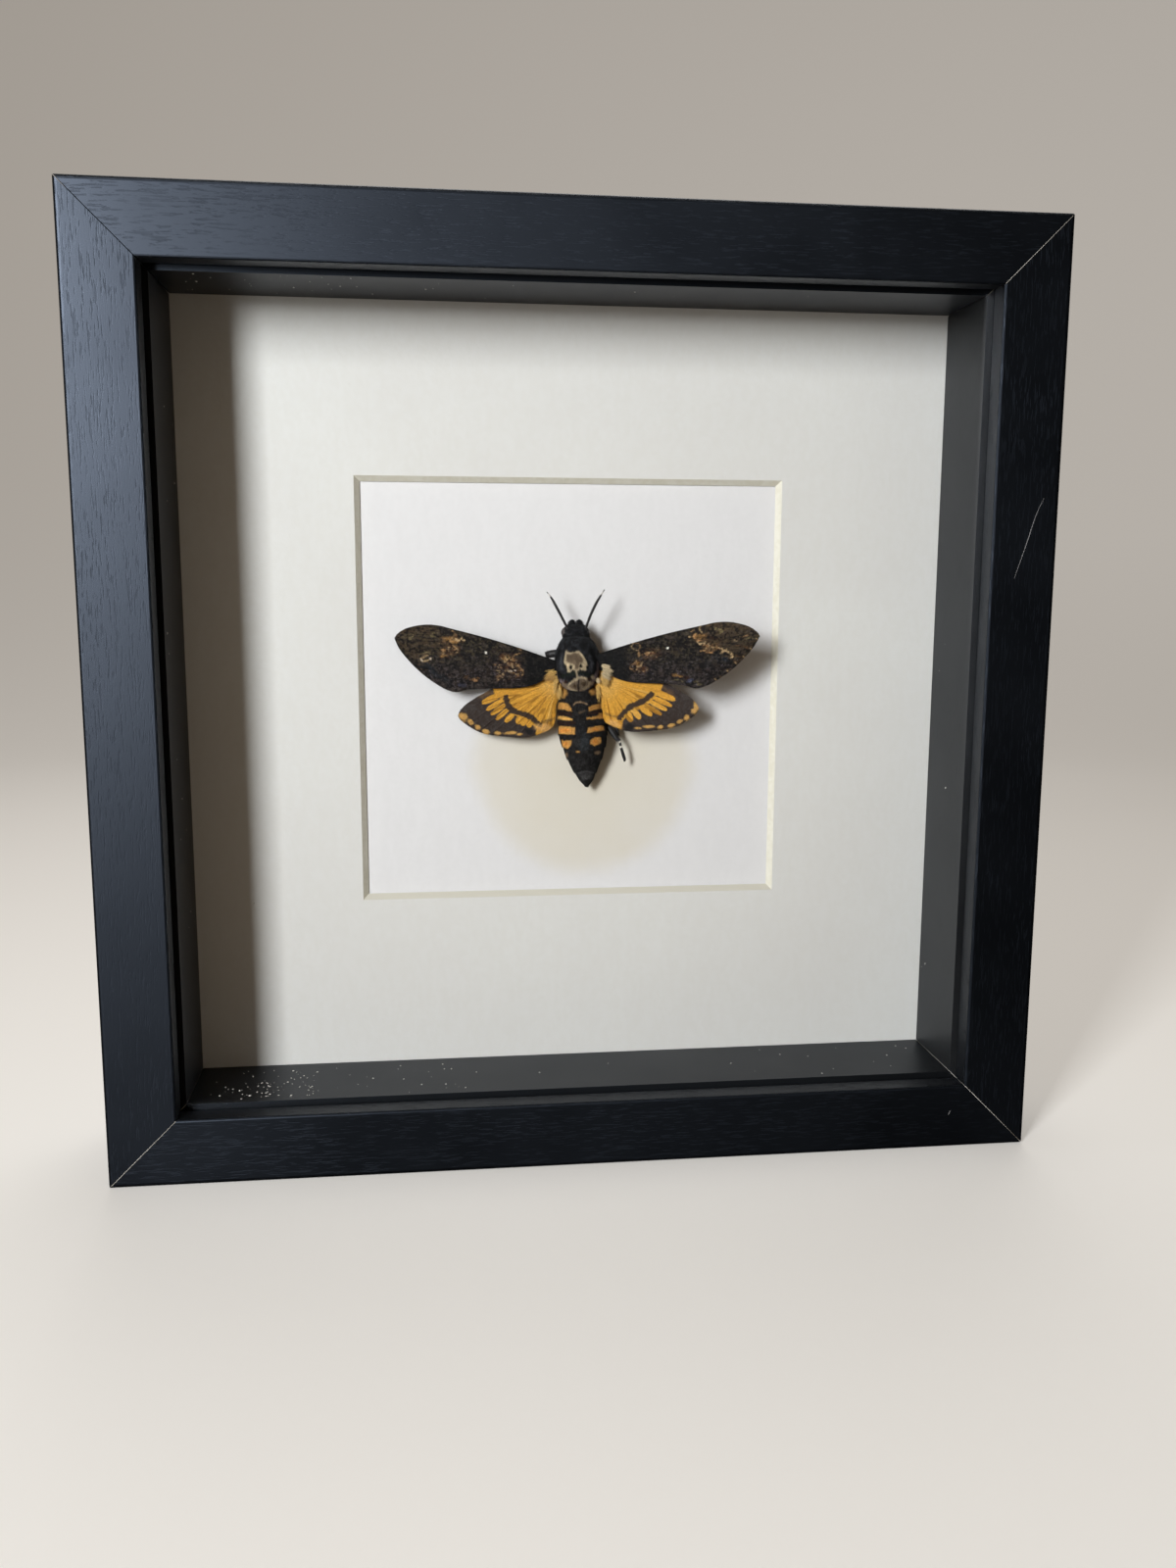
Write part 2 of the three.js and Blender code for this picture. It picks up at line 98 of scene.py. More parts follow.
def srgb(red, green, blue):
    """A screen colour of 0 to 255 as linear light."""
    c = np.array([red, green, blue], float) / 255
    return np.where(c <= 0.04045, c / 12.92, ((c + 0.055) / 1.055) ** 2.4)


def smooth_line(points, count):
    """Places spaced evenly along a smooth curve through the points."""
    p = np.array(points, float)
    ends = np.vstack([p[:1], p, p[-1:]])
    fine = 24
    t = np.linspace(0, 1, fine, endpoint=False)[:, None]
    spans = []
    for a, b, c, d in zip(ends, ends[1:], ends[2:], ends[3:]):
        bend = (2 * a - 5 * b + 4 * c - d) * t**2 + (3 * b - a - 3 * c + d) * t**3
        spans.append(0.5 * (2 * b + (c - a) * t + bend))
    line = np.vstack([*spans, p[-1:]])
    along = np.concatenate([[0], np.cumsum(np.linalg.norm(np.diff(line, axis=0), axis=1))])
    at = np.linspace(0, along[-1], count)
    return np.stack([np.interp(at, along, line[:, k]) for k in range(line.shape[1])], -1)


def cell_noise(u, v, seed):
    """Smooth noise from -1 to 1, with features one unit across."""
    iu, iv = np.floor(u), np.floor(v)
    fu, fv = u - iu, v - iv
    fu, fv = fu * fu * (3 - 2 * fu), fv * fv * (3 - 2 * fv)

    def corner(du, dv):
        k = np.sin((iu + du) * 127.1 + (iv + dv) * 311.7 + seed * 74.7) * 43758.5453
        return 2 * (k - np.floor(k)) - 1

    low = corner(0, 0) * (1 - fu) + corner(1, 0) * fu
    high = corner(0, 1) * (1 - fu) + corner(1, 1) * fu
    return low * (1 - fv) + high * fv


def layered_noise(u, v, seed, layers=3):
    """Noise from -1 to 1, each layer half as wide and half as strong as the last."""
    total = sum(cell_noise(u * 2**k, v * 2**k, seed + k) / 2**k for k in range(layers))
    return total / (2 - 2 ** (1 - layers))


def smooth_step(low, high, value):
    """A smooth ramp from 0 at low to 1 at high. It runs down if low is the larger."""
    t = np.clip((value - low) / (high - low), 0, 1)
    return t * t * (3 - 2 * t)


def line_distance(x, y, points):
    """How far each place is from a line of points."""
    nearest = np.full(np.shape(x), 1e9)
    for (ax, ay), (bx, by) in zip(points, points[1:]):
        dx, dy = bx - ax, by - ay
        t = np.clip(((x - ax) * dx + (y - ay) * dy) / max(dx * dx + dy * dy, 1e-9), 0, 1)
        nearest = np.minimum(nearest, np.hypot(x - ax - t * dx, y - ay - t * dy))
    return nearest


def inside(x, y, points):
    """Whether each place is inside a closed outline."""
    hit = np.zeros(np.shape(x), bool)
    for (ax, ay), (bx, by) in zip(points, [*points[1:], points[0]]):
        crosses = (ay > y) != (by > y)
        reach = ax + (y - ay) * (bx - ax) / (by - ay if by != ay else 1e-9)
        hit ^= crosses & (x < reach)
    return hit


def as_measured(places, plane):
    """Where places are seen on a flat plane that deep in the frame, from the photograph's camera.
    Markings were measured on such planes, so this carries them to the raised surface."""
    x, y, h = places.reshape(-1, 3).T
    share = (CAMERA_DISTANCE + plane) / (CAMERA_DISTANCE + CARD_DEPTH - h)
    return CAMERA_X + (x - CAMERA_X) * share, CAMERA_RISE + (y - CAMERA_RISE) * share


class Paint:
    """Colours for many places on a plane, laid on one marking at a time."""

    def __init__(self, x, y, ground, seed):
        self.seed = seed
        self.x, self.y = x, y
        self.colour = np.tile(ground, (len(x), 1))

    def lay(self, mask, colour):
        """Lays one colour, or a colour for each place, as far as the mask covers."""
        self.colour += (colour - self.colour) * np.clip(mask, 0, 1)[:, None]

    def roughness(self, size):
        self.seed += 7
        return layered_noise(self.x / size, self.y / size, self.seed)

    def flecked(self, mask, share, size=0.45):
        """The mask broken into flecks, which take this share of it away."""
        return mask * (1 - share * smooth_step(0.3, -0.2, self.roughness(size)))

    def line(self, points, width, colour, strength=1.0, soft=0.15, ragged=0.35, flecks=0.0):
        far = line_distance(self.x, self.y, points) + ragged * width * self.roughness(0.7)
        mask = strength * smooth_step(width / 2 + soft, width / 2 - soft, far)
        self.lay(self.flecked(mask, flecks), colour)

    def cloud(self, x, y, wide, high, colour, strength=1.0, turn=0.0, ragged=0.5, edge=0.45,
              flecks=0.0):
        c, s = math.cos(math.radians(turn)), math.sin(math.radians(turn))
        dx, dy = self.x - x, self.y - y
        far = np.hypot((dx * c + dy * s) / wide, (dy * c - dx * s) / high)
        far += ragged * self.roughness(0.9)
        self.lay(self.flecked(strength * smooth_step(1 + edge, 1 - edge, far), flecks), colour)

    def spot(self, x, y, wide, high, colour, strength=0.9, turn=0):
        """A cloud, whole if it is small and broken into flecks if it is large."""
        ragged, flecks = (0.2, 0.0) if wide < 0.5 else (0.6, 0.5)
        self.cloud(x, y, wide, high, colour, strength, turn, ragged, flecks=flecks)

    def stroke(self, points, width, colour, strength=0.9):
        """A ragged curved line, broken into flecks."""
        self.line(smooth_line(points, 9).tolist(), width, colour, strength, 0.14, 0.8, 0.5)

    def area(self, points, colour, strength=1.0, soft=0.25, ragged=0.0, flecks=0.0):
        far = line_distance(self.x, self.y, [*points, points[0]])
        far = np.where(inside(self.x, self.y, points), -far, far)
        if ragged:
            far += ragged * self.roughness(0.9)
        self.lay(self.flecked(strength * smooth_step(soft, -soft, far), flecks), colour)

    def petal(self, root, tip, half_width, colour):
        """A leaf-shaped stroke, widest a little past its middle."""
        dx, dy = tip[0] - root[0], tip[1] - root[1]
        length = math.hypot(dx, dy)
        along = ((self.x - root[0]) * dx + (self.y - root[1]) * dy) / length**2
        side = np.abs((self.x - root[0]) * dy - (self.y - root[1]) * dx) / length
        bulge = 1 - ((np.maximum(along, 0.1) - 0.5) / 0.52) ** 2
        room = half_width * np.clip(bulge, 0, 1) ** 0.4 * (along > -0.1)
        self.lay(smooth_step(0.12, -0.12, side - room + 0.06 * self.roughness(0.5)) * (room > 0), colour)

    def speckle(self, points, size, colour, strength):
        """Flecks of a size inside a closed outline, thinning out towards it."""
        far = line_distance(self.x, self.y, [*points, points[0]])
        depth = np.where(inside(self.x, self.y, points), far, 0)
        self.lay(smooth_step(0.1, 0.55, self.roughness(size)) * smooth_step(0, 0.8, depth) * strength, colour)

    def web(self, size, colour, strength):
        """Fine wandering lines, broken into flecks."""
        lines = smooth_step(0.3, 0.08, np.abs(self.roughness(size)))
        self.lay(self.flecked(lines * strength, 0.75, size * 0.6), colour)


# Meshes

def grid_faces(rows, columns, closed=False):
    """Four-sided faces over a grid of places, row by row, joined round if closed."""
    reach = columns if closed else columns - 1
    r, c = np.meshgrid(np.arange(rows - 1), np.arange(reach), indexing="ij")
    right = (c + 1) % columns
    corners = [r * columns + c, r * columns + right, (r + 1) * columns + right, (r + 1) * columns + c]
    return np.stack(corners, -1).reshape(-1, 4).tolist()


def capped_faces(rows, columns):
    """Faces round a closed grid, with its two ends closed too."""
    first = list(range(columns))[::-1]
    last = [(rows - 1) * columns + i for i in range(columns)]
    return [*grid_faces(rows, columns, closed=True), first, last]


class Form:
    """A mesh in the making: places, faces, and a colour for each place."""

    def __init__(self):
        self.places, self.faces, self.colours, self.count = [], [], [], 0

    def add(self, places, faces, colours):
        """Takes faces that count from the first of these places."""
        places = np.asarray(places, float).reshape(-1, 3)
        self.places.append(places)
        self.faces.extend([[i + self.count for i in face] for face in faces])
        self.colours.append(np.broadcast_to(colours, places.shape))
        self.count += len(places)

    def finish(self, name, material, slot, *nodes):
        """Makes the painted piece, which takes the place of the named nodes."""
        x, y, h = np.vstack(self.places).T
        row = np.stack([x, CARD_FRONT - h, MIDDLE_HEIGHT + y], -1) * MM
        data = bpy.data.meshes.new(name)
        data.from_pydata(row.tolist(), [], self.faces)
        data.polygons.foreach_set("use_smooth", np.ones(len(self.faces), bool))
        layer = data.color_attributes.new("paint", "FLOAT_COLOR", "POINT")
        colour = np.hstack([np.clip(np.vstack(self.colours), 0, 1), np.ones((self.count, 1))])
        layer.data.foreach_set("color", colour.astype(np.float32).ravel())
        data.update()
        piece = bpy.data.objects.new(name, data)
        bpy.context.collection.objects.link(piece)
        data.materials.append(material)
        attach(piece, "root")
        if nodes:
            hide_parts(*nodes)
        return piece


UP = np.array([0.0, 0.0, 1.0])


def unit(vectors):
    return vectors / np.maximum(np.linalg.norm(vectors, axis=-1, keepdims=True), 1e-9)


def add_hairs(form, roots, along, normals, length, width, lift, colours):
    """Tapered hairs: each leaves its root along the skin and bends up off it by lift."""
    count = len(roots)
    if not count:
        return
    length, width, lift = (np.broadcast_to(a, count)[:, None] for a in (length, width, lift))
    along = unit(along)
    side = unit(np.cross(along, normals)) * width / 2
    middle = roots + along * length * 0.55 + normals * lift * 0.7
    tip = roots + along * length + normals * lift
    places = np.stack([roots - side, roots + side, middle + side * 0.8, middle - side * 0.8, tip], 1)
    first = np.arange(count)[:, None] * 5
    faces = (first + [0, 1, 2, 3]).tolist() + (first + [3, 2, 4]).tolist()
    form.add(places, faces, np.repeat(colours, 5, axis=0))


def add_tube(form, path, radii, colours, sides):
    """A closed round limb through places of a path, with a radius and a colour for each."""
    path = np.asarray(path, float)
    forward = unit(np.gradient(path, axis=0))
    across = unit(np.cross(forward, UP))
    up = np.cross(across, forward)
    angle = np.linspace(0, 2 * math.pi, sides, endpoint=False)
    reach = np.asarray(radii)[:, None, None]
    ring = across[:, None] * np.cos(angle)[:, None] + up[:, None] * np.sin(angle)[:, None]
    places = path[:, None] + reach * ring
    faces = [face[::-1] for face in capped_faces(len(path), sides)]
    form.add(places, faces, np.repeat(colours, sides, axis=0))


# Materials

def new_material(name):
    """A material with one Principled shader, and its tree."""
    material = bpy.data.materials.new(name)
    material.use_nodes = True
    tree = material.node_tree
    return material, tree, tree.nodes["Principled BSDF"]


def plug(tree, value, socket):
    """Links another node's socket to this one, or sets it to a constant."""
    if isinstance(value, bpy.types.NodeSocket):
        tree.links.new(value, socket)
    else:
        socket.default_value = value


def node(tree, kind, inputs=None, **settings):
    """A shader node, its inputs given by name or number as values or as sockets to link."""
    made = tree.nodes.new("ShaderNode" + kind)
    for key, value in settings.items():
        setattr(made, key, value)
    for key, value in (inputs or {}).items():
        plug(tree, value, made.inputs[key])
    return made


def maths(tree, operation, first, second=0.0):
    return node(tree, "Math", {0: first, 1: second}, operation=operation).outputs[0]


def coordinates(tree, scale=(1, 1, 1)):
    """Places in metres in the part's frame, stretched along each axis."""
    place = node(tree, "TexCoord").outputs["Object"]
    return node(tree, "VectorMath", {0: place, 1: scale}, operation="MULTIPLY").outputs[0]


def noise_at(tree, vector, scale, detail=3.0, rough=0.55):
    inputs = {"Vector": vector, "Scale": scale, "Detail": detail, "Roughness": rough}
    return node(tree, "TexNoise", inputs).outputs[0]


def spread(tree, value, low, high, out_low=0.0, out_high=1.0):
    """A smooth ramp between two outputs, held level outside low and high."""
    inputs = {0: value, 1: low, 2: high, 3: out_low, 4: out_high}
    return node(tree, "MapRange", inputs, interpolation_type="SMOOTHSTEP").outputs[0]


def mix(tree, share, first, second, how="MIX"):
    inputs = {0: share, 6: first, 7: second}
    return node(tree, "Mix", inputs, data_type="RGBA", blend_type=how).outputs[2]


def rgb(*screen):
    """A screen colour for a socket."""
    return (*srgb(*screen), 1.0)


def grey(value):
    return (value, value, value, 1.0)


def coat(tree, shader, colour, roughness, specular=0.5):
    """Gives the shader its colour, roughness and specular level."""
    plug(tree, colour, shader.inputs["Base Color"])
    plug(tree, roughness, shader.inputs["Roughness"])
    shader.inputs["Specular IOR Level"].default_value = specular


def bump(tree, shader, height, depth, strength=1.0):
    inputs = {"Height": height, "Distance": depth, "Strength": strength}
    tree.links.new(node(tree, "Bump", inputs).outputs[0], shader.inputs["Normal"])


GRAIN_STRETCH = 0.1  # how fast the grain changes along itself, against across
FOIL_TINT = (0.66, 0.78, 1.0, 1.0)  # the foil mirrors the sky's blue
MAT_FACE = (rgb(221, 220, 218), rgb(226, 226, 224))
MAT_FIBRE = rgb(196, 190, 176)
MAT_CORE = (rgb(228, 225, 213), rgb(220, 216, 201))
# painted shade for the core where the bevel faces up
MAT_CORE_PAINTED_SHADE = rgb(206, 202, 190)
CARD_WHITE = rgb(229, 228, 230)
CARD_FIBRE = rgb(200, 199, 199)
STAIN_COLOUR = rgb(217, 209, 190)
BOARD_BROWNS = (rgb(104, 74, 50), rgb(132, 98, 68))
BOARD_FIBRE = rgb(158, 122, 88)
BOARD_FLECK = rgb(62, 42, 30)
STEEL_GREYS = (rgb(168, 170, 174), rgb(200, 200, 200))
GLUE_TONES = (rgb(214, 202, 168), rgb(226, 218, 190))


def foil_material(name, grain_axis, tone, roughness, pores, specular):
    """Black foil printed and pressed with wood pores, which run along grain_axis."""
    material, tree, shader = new_material(name)
    stretch = [1.0] * 3
    stretch[grain_axis] = GRAIN_STRETCH
    grained = coordinates(tree, stretch)
    pore = spread(tree, noise_at(tree, grained, 2600.0, 2.0), 0.53, 0.66)
    breaks = spread(tree, noise_at(tree, coordinates(tree), 55.0, 2.0), 0.35, 0.65, 0.45, 1.0)
    pore = maths(tree, "MULTIPLY", pore, breaks)
    fine = noise_at(tree, grained, 3200.0, 3.0)
    broad = noise_at(tree, coordinates(tree), 22.0, 3.0)
    shade = maths(tree, "ADD", maths(tree, "MULTIPLY", fine, 0.5), maths(tree, "MULTIPLY", broad, 0.6))
    light = mix(tree, spread(tree, shade, 0.35, 0.8), grey(tone * 0.75), grey(tone * 1.35))
    pressed = maths(tree, "MULTIPLY", pore, pores)
    dark = mix(tree, pressed, light, grey(tone * 0.5))
    rough = maths(tree, "ADD", spread(tree, broad, 0.3, 0.7, roughness - 0.03, roughness + 0.04),
                  maths(tree, "MULTIPLY", pore, 0.12 * pores))
    coat(tree, shader, dark, rough, specular)
    shader.inputs["Specular Tint"].default_value = FOIL_TINT
    height = maths(tree, "SUBTRACT", maths(tree, "MULTIPLY", fine, 0.25), pressed)
    bump(tree, shader, height, 0.00012, 0.2)
    return material


def glass_material():
    """Thin clear glass: light passes straight through, and its front mirrors a little."""
    material, tree, shader = new_material("clear_glass")
    tree.nodes.remove(shader)
    smear = spread(tree, noise_at(tree, coordinates(tree, (1, 1, 0.6)), 30.0, 4.0), 0.45, 0.8)
    clear = node(tree, "BsdfTransparent", {"Color": (0.975, 0.98, 0.978, 1)}).outputs[0]
    rough = spread(tree, smear, 0.0, 1.0, 0.02, 0.09)
    mirror = node(tree, "BsdfGlossy", {"Color": grey(1.0), "Roughness": rough}).outputs[0]
    front = maths(tree, "SUBTRACT", 1.0, node(tree, "NewGeometry").outputs["Backfacing"])
    share = maths(tree, "MULTIPLY", node(tree, "Fresnel", {"IOR": 1.45}).outputs[0], front)
    both = node(tree, "MixShader", {0: share, 1: clear, 2: mirror}).outputs[0]
    tree.links.new(both, tree.nodes["Material Output"].inputs["Surface"])
    return material


def paper_height(tree):
    felt = noise_at(tree, coordinates(tree), 900.0, 4.0, 0.6)
    fibre = noise_at(tree, coordinates(tree, (1, 1, 0.3)), 420.0, 3.0)
    return maths(tree, "ADD", maths(tree, "MULTIPLY", felt, 0.6), maths(tree, "MULTIPLY", fibre, 0.4))


def mat_material():
    """Off-white mat with a felted face and a cream core, which shows on the window's bevel."""
    material, tree, shader = new_material("mat_paper")
    height = paper_height(tree)
    broad = noise_at(tree, coordinates(tree), 9.0, 3.0)
    face = mix(tree, spread(tree, broad, 0.35, 0.7), *MAT_FACE)
    face = mix(tree, spread(tree, height, 0.4, 0.62, 0.1, 0.0), face, MAT_FIBRE)
    normal = node(tree, "NewGeometry").outputs["True Normal"]
    facing = maths(tree, "ABSOLUTE", node(tree, "SeparateXYZ", {0: normal}).outputs["Y"])
    bevel = maths(tree, "LESS_THAN", facing, 0.95)
    core = mix(tree, spread(tree, height, 0.4, 0.6), *MAT_CORE)
    # Painted shade: the core is darker where the bevel faces up, along the lower edge of the window.
    upward_shade = spread(tree, node(tree, "SeparateXYZ", {0: normal}).outputs["Z"], 0.3, 0.6)
    core = mix(tree, upward_shade, core, MAT_CORE_PAINTED_SHADE)
    coat(tree, shader, mix(tree, bevel, face, core), 0.92, 0.2)
    bump(tree, shader, height, 0.00012, 0.55)
    return material


STAIN_PLACE = (4.0, -20.0)
STAIN_RADIUS = 31.0
STAIN_BLUR = 4.5  # half the width of its soft edge


def card_material():
    """White card with the round stain that the moth's oils left in it."""
    material, tree, shader = new_material("card_paper")
    height = paper_height(tree)
    place = coordinates(tree)
    centre = (STAIN_PLACE[0] * MM, CARD_FRONT * MM, (MIDDLE_HEIGHT + STAIN_PLACE[1]) * MM)
    far = node(tree, "VectorMath", {0: place, 1: centre}, operation="DISTANCE").outputs["Value"]
    wander = noise_at(tree, place, 70.0, 3.0)
    far = maths(tree, "ADD", far, maths(tree, "MULTIPLY", maths(tree, "SUBTRACT", wander, 0.5), 0.006))
    edge = STAIN_RADIUS * MM
    soaked = spread(tree, far, edge - STAIN_BLUR * MM, edge + STAIN_BLUR * MM, 1.0, 0.0)
    fading = spread(tree, far, 0.0, edge, 1.0, 0.72)
    patchy = spread(tree, noise_at(tree, place, 45.0, 4.0), 0.3, 0.75, 0.8, 1.0)
    stain = maths(tree, "MULTIPLY", maths(tree, "MULTIPLY", soaked, fading), patchy)
    white = mix(tree, spread(tree, height, 0.38, 0.62, 0.12, 0.0), CARD_WHITE, CARD_FIBRE)
    colour = mix(tree, maths(tree, "MULTIPLY", stain, 0.9), white, STAIN_COLOUR)
    coat(tree, shader, colour, 0.85, 0.25)
    bump(tree, shader, height, 0.0001, 0.5)
    return material


def hardboard_material():
    material, tree, shader = new_material("hardboard")
    fibre = noise_at(tree, coordinates(tree, (1.0, 1.0, 0.35)), 500.0, 5.0, 0.65)
    cloud = noise_at(tree, coordinates(tree), 28.0, 4.0)
    flecks = spread(tree, noise_at(tree, coordinates(tree, (0.4, 1, 1)), 800.0, 2.0), 0.62, 0.72)
    brown = mix(tree, spread(tree, cloud, 0.3, 0.7), *BOARD_BROWNS)
    brown = mix(tree, spread(tree, fibre, 0.35, 0.7, 0.0, 0.6), brown, BOARD_FIBRE)
    brown = mix(tree, maths(tree, "MULTIPLY", flecks, 0.5), brown, BOARD_FLECK)
    coat(tree, shader, brown, 0.75)
    bump(tree, shader, fibre, 0.0002, 0.6)
    return material


def steel_material():
    material, tree, shader = new_material("zinc_plated_steel")
    brushed = noise_at(tree, coordinates(tree, (0.08, 1, 1)), 2600.0, 3.0)
    cloud = noise_at(tree, coordinates(tree), 120.0, 3.0)
    colour = mix(tree, spread(tree, cloud, 0.3, 0.7), *STEEL_GREYS)
    coat(tree, shader, colour, spread(tree, brushed, 0.3, 0.7, 0.34, 0.5))
    shader.inputs["Metallic"].default_value = 0.45  # dull zinc scatters light too
    bump(tree, shader, brushed, 0.00005, 0.5)
    return material


def painted_material(name, roughness, scale, depth, variation=0.3, sheen=0.0, specular=0.3):
    """Scales, fur or shell that takes its colour from the marks laid on the mesh."""
    material, tree, shader = new_material(name)
    paint = node(tree, "Attribute", attribute_name="paint").outputs["Color"]
    fine = noise_at(tree, coordinates(tree), scale, 3.0, 0.6)
    level = spread(tree, fine, 0.3, 0.7, 1 - variation, 1 + variation)
    shades = node(tree, "CombineColor", {0: level, 1: level, 2: level}).outputs[0]
    coat(tree, shader, mix(tree, 1.0, paint, shades, "MULTIPLY"), roughness, specular)
    shader.inputs["Sheen Weight"].default_value = sheen
    shader.inputs["Sheen Roughness"].default_value = 0.5
    bump(tree, shader, fine, depth, 0.7)
    return material


def glue_material():
    material, tree, shader = new_material("dried_glue")
    cloud = noise_at(tree, coordinates(tree), 600.0, 3.0)
    colour = mix(tree, spread(tree, cloud, 0.3, 0.7), *GLUE_TONES)
    coat(tree, shader, colour, 0.35)
    bump(tree, shader, cloud, 0.0001, 0.4)
    return material


# The moth's colours
INK = srgb(19, 18, 20)
ROOT_BLACK = srgb(17, 19, 21)
UMBER = srgb(54, 44, 37)
MAROON = srgb(44, 27, 21)
RUST = srgb(80, 52, 34)
BROWN = srgb(96, 73, 50)
OCHRE = srgb(144, 113, 66)
AMBER = srgb(170, 136, 96)
OLIVE = srgb(112, 107, 80)
TAN = srgb(168, 140, 104)
CREAM = srgb(206, 186, 148)
CHALK = srgb(230, 224, 214)
OUTER_BROWN = srgb(70, 60, 48)
BLUE_BLACK = srgb(30, 38, 48)
SLATE = srgb(82, 90, 120)
ASH = srgb(84, 80, 78)
MAUVE = srgb(80, 75, 80)
YELLOW = srgb(208, 153, 56)
# the shade painted into the hindwings' folds
FOLD_SHADE = srgb(168, 112, 34)
PALE_YELLOW = srgb(216, 176, 100)
SPOT_YELLOW = srgb(200, 156, 88)
PEACH = srgb(216, 170, 106)
ORANGE = srgb(222, 152, 70)
BAND = srgb(48, 38, 34)
BORDER = srgb(54, 44, 40)
FOREWING_WARMTH = (0.94, 0.82, 0.72)
ABDOMEN_WARMTH = (1.0, 0.9, 0.78)
FUR_BLACK = srgb(29, 29, 31)
FUR_GREEN = srgb(28, 34, 29)
FUR_BLUE = srgb(32, 39, 50)
FUR_STEEL = srgb(60, 69, 80)
FUR_GREY = srgb(70, 72, 78)
FUR_MAUVE = srgb(128, 114, 118)
FUR_TAN = srgb(150, 130, 108)
CROWN = srgb(110, 93, 76)
BONE = srgb(200, 182, 150)

# Wing outlines from the hinge, as [out along the wing, forward]
FOREWING = {
    "leading": [(-2, 1.6), (1.5, 2.7), (8.9, 5.1), (18.7, 7.9), (28.4, 10.2), (32, 11), (36, 11.1),
                (40.5, 10.1), (42.9, 8.6), (43.7, 7.6)],
    "trailing": [(-2, -1.6), (1.5, -2.6), (5.5, -4.6), (10, -5.6), (17, -5.9), (23.7, -6.4),
                 (27.2, -7.1), (31.3, -5.7), (37.3, -1.4), (42.1, 3.8), (43.7, 6.9)],
    "veins": [
        [(0, 1.4), (9, 4.1), (19, 6.9), (29, 9.1), (36, 10.2)],
        [(0, 0.9), (10, 3.1), (20, 5.6), (31, 7.9), (40.8, 9.3)],
        [(22, 5.4), (31, 6.6), (43, 7.6)],
        [(23.2, 4.6), (32, 4.9), (42.6, 4.8)],
        [(23.8, 3.2), (32, 2.3), (40.3, 1.9)],
        [(23.2, 1.6), (31, 0.0), (37.4, -1.2)],
        [(21, 0.3), (29, -2.4), (34.4, -3.6)],
        [(0, 0.0), (10, 0.4), (21, 0.1), (28, -3.7), (31, -5.6)],
        [(0, -0.8), (9, -2.2), (18, -3.9), (26.6, -6.6)],
    ],
}
HINDWING = {
    "leading": [(-2, 2.8), (6, 2.6), (12, 1.4), (16.5, -0.3), (20.3, -2.2), (23, -3.8),
                (25.2, -5.3), (26.5, -6.8), (27, -7.9)],
    "trailing": [(-2, -1.5), (0, -5), (0.3, -9), (1.2, -11.6), (3.9, -13.1), (8.2, -14.4),
                 (14.4, -14.1), (20.2, -13.2), (23.7, -11.5), (26.3, -9.6), (27, -8.4)],
    "veins": [
        [(0, 1.0), (8, 0.6), (16, -1.8), (26, -7.2)],
        [(0, 0.4), (8, -1.4), (16, -5.0), (24.6, -10.6)],
        [(0, 0.0), (7, -2.6), (14, -6.6), (21.4, -12.6)],
        [(0, -0.4), (6, -3.8), (12, -8.2), (18, -13.4)],
        [(0, -0.8), (5, -4.6), (9.6, -9.4), (14.4, -13.9)],
        [(0, -1.2), (3.8, -5.4), (7.2, -10.0), (10.6, -14.0)],
        [(0, -1.6), (2.4, -6.0), (4.4, -10.6), (6.8, -13.8)],
        [(0, -2.0), (1.4, -6.4), (2.4, -10.4), (3.4, -12.6)],
    ],
}
SKIN = 0.09  # half the thickness of a wing
VEIN_RISE = 0.13
VEIN_WIDTH = 0.32


class Wing:
    """One wing: its outline, where it is hinged, and its height along and across."""

    def __init__(self, plan, side, hinge, swing, root, rise, arch, droop, spans, chords):
        self.plan, self.side, self.hinge, self.swing = plan, side, np.array(hinge), math.radians(swing)
        self.root, self.rise, self.arch, self.droop = root, rise, arch, droop
        self.leading = smooth_line(plan["leading"], spans)
        self.trailing = smooth_line(plan["trailing"], spans)
        self.shares = np.linspace(0, 1, chords)
        self.length = max(u for u, _ in plan["leading"])

    def place(self, flat, share):
        """The place of a point of the flat outline, at its share of the way across."""
        out = np.maximum(flat[..., 0], 0) / self.length
        height = self.root + self.rise * out + self.arch * np.sin(math.pi * share)
        height = height - self.droop * share * (1 - 0.5 * out)
        height = height + 0.12 * layered_noise(flat[..., 0] / 5, flat[..., 1] / 3, 3)
        c, s = math.cos(self.swing), math.sin(self.swing)
        u, v = flat[..., 0] * c - flat[..., 1] * s, flat[..., 0] * s + flat[..., 1] * c
        return np.stack([self.hinge[0] + self.side * u, self.hinge[1] + v, height], -1)

    def surface(self):
        """Places on the upper skin, with the veins raised, and the flat points under them."""
        share = self.shares[None, :] + 0 * self.leading[:, :1]
        flat = self.leading[:, None] * (1 - share[..., None]) + self.trailing[:, None] * share[..., None]
        top = self.place(flat, share)
        ridge = np.zeros(share.shape)
        for vein in self.plan["veins"]:
            far = line_distance(flat[..., 0], flat[..., 1], smooth_line(vein, 14))
            ridge = np.maximum(ridge, VEIN_RISE * smooth_step(VEIN_WIDTH, 0.0, far))
        top[..., 2] += ridge * smooth_step(0, 0.06, share) * smooth_step(1, 0.94, share)
        return top, flat, share

    def rim(self, count, which):
        """Places along the leading or trailing edge, with the way out of the wing at each."""
        share = {"leading": 0.0, "trailing": 1.0}[which]
        line = smooth_line(self.plan[which], count)
        places = self.place(line, share)
        forward = unit(np.gradient(places, axis=0))
        outward = np.cross(forward, UP) * (1 if share else -1) * self.side
        return places, unit(outward)


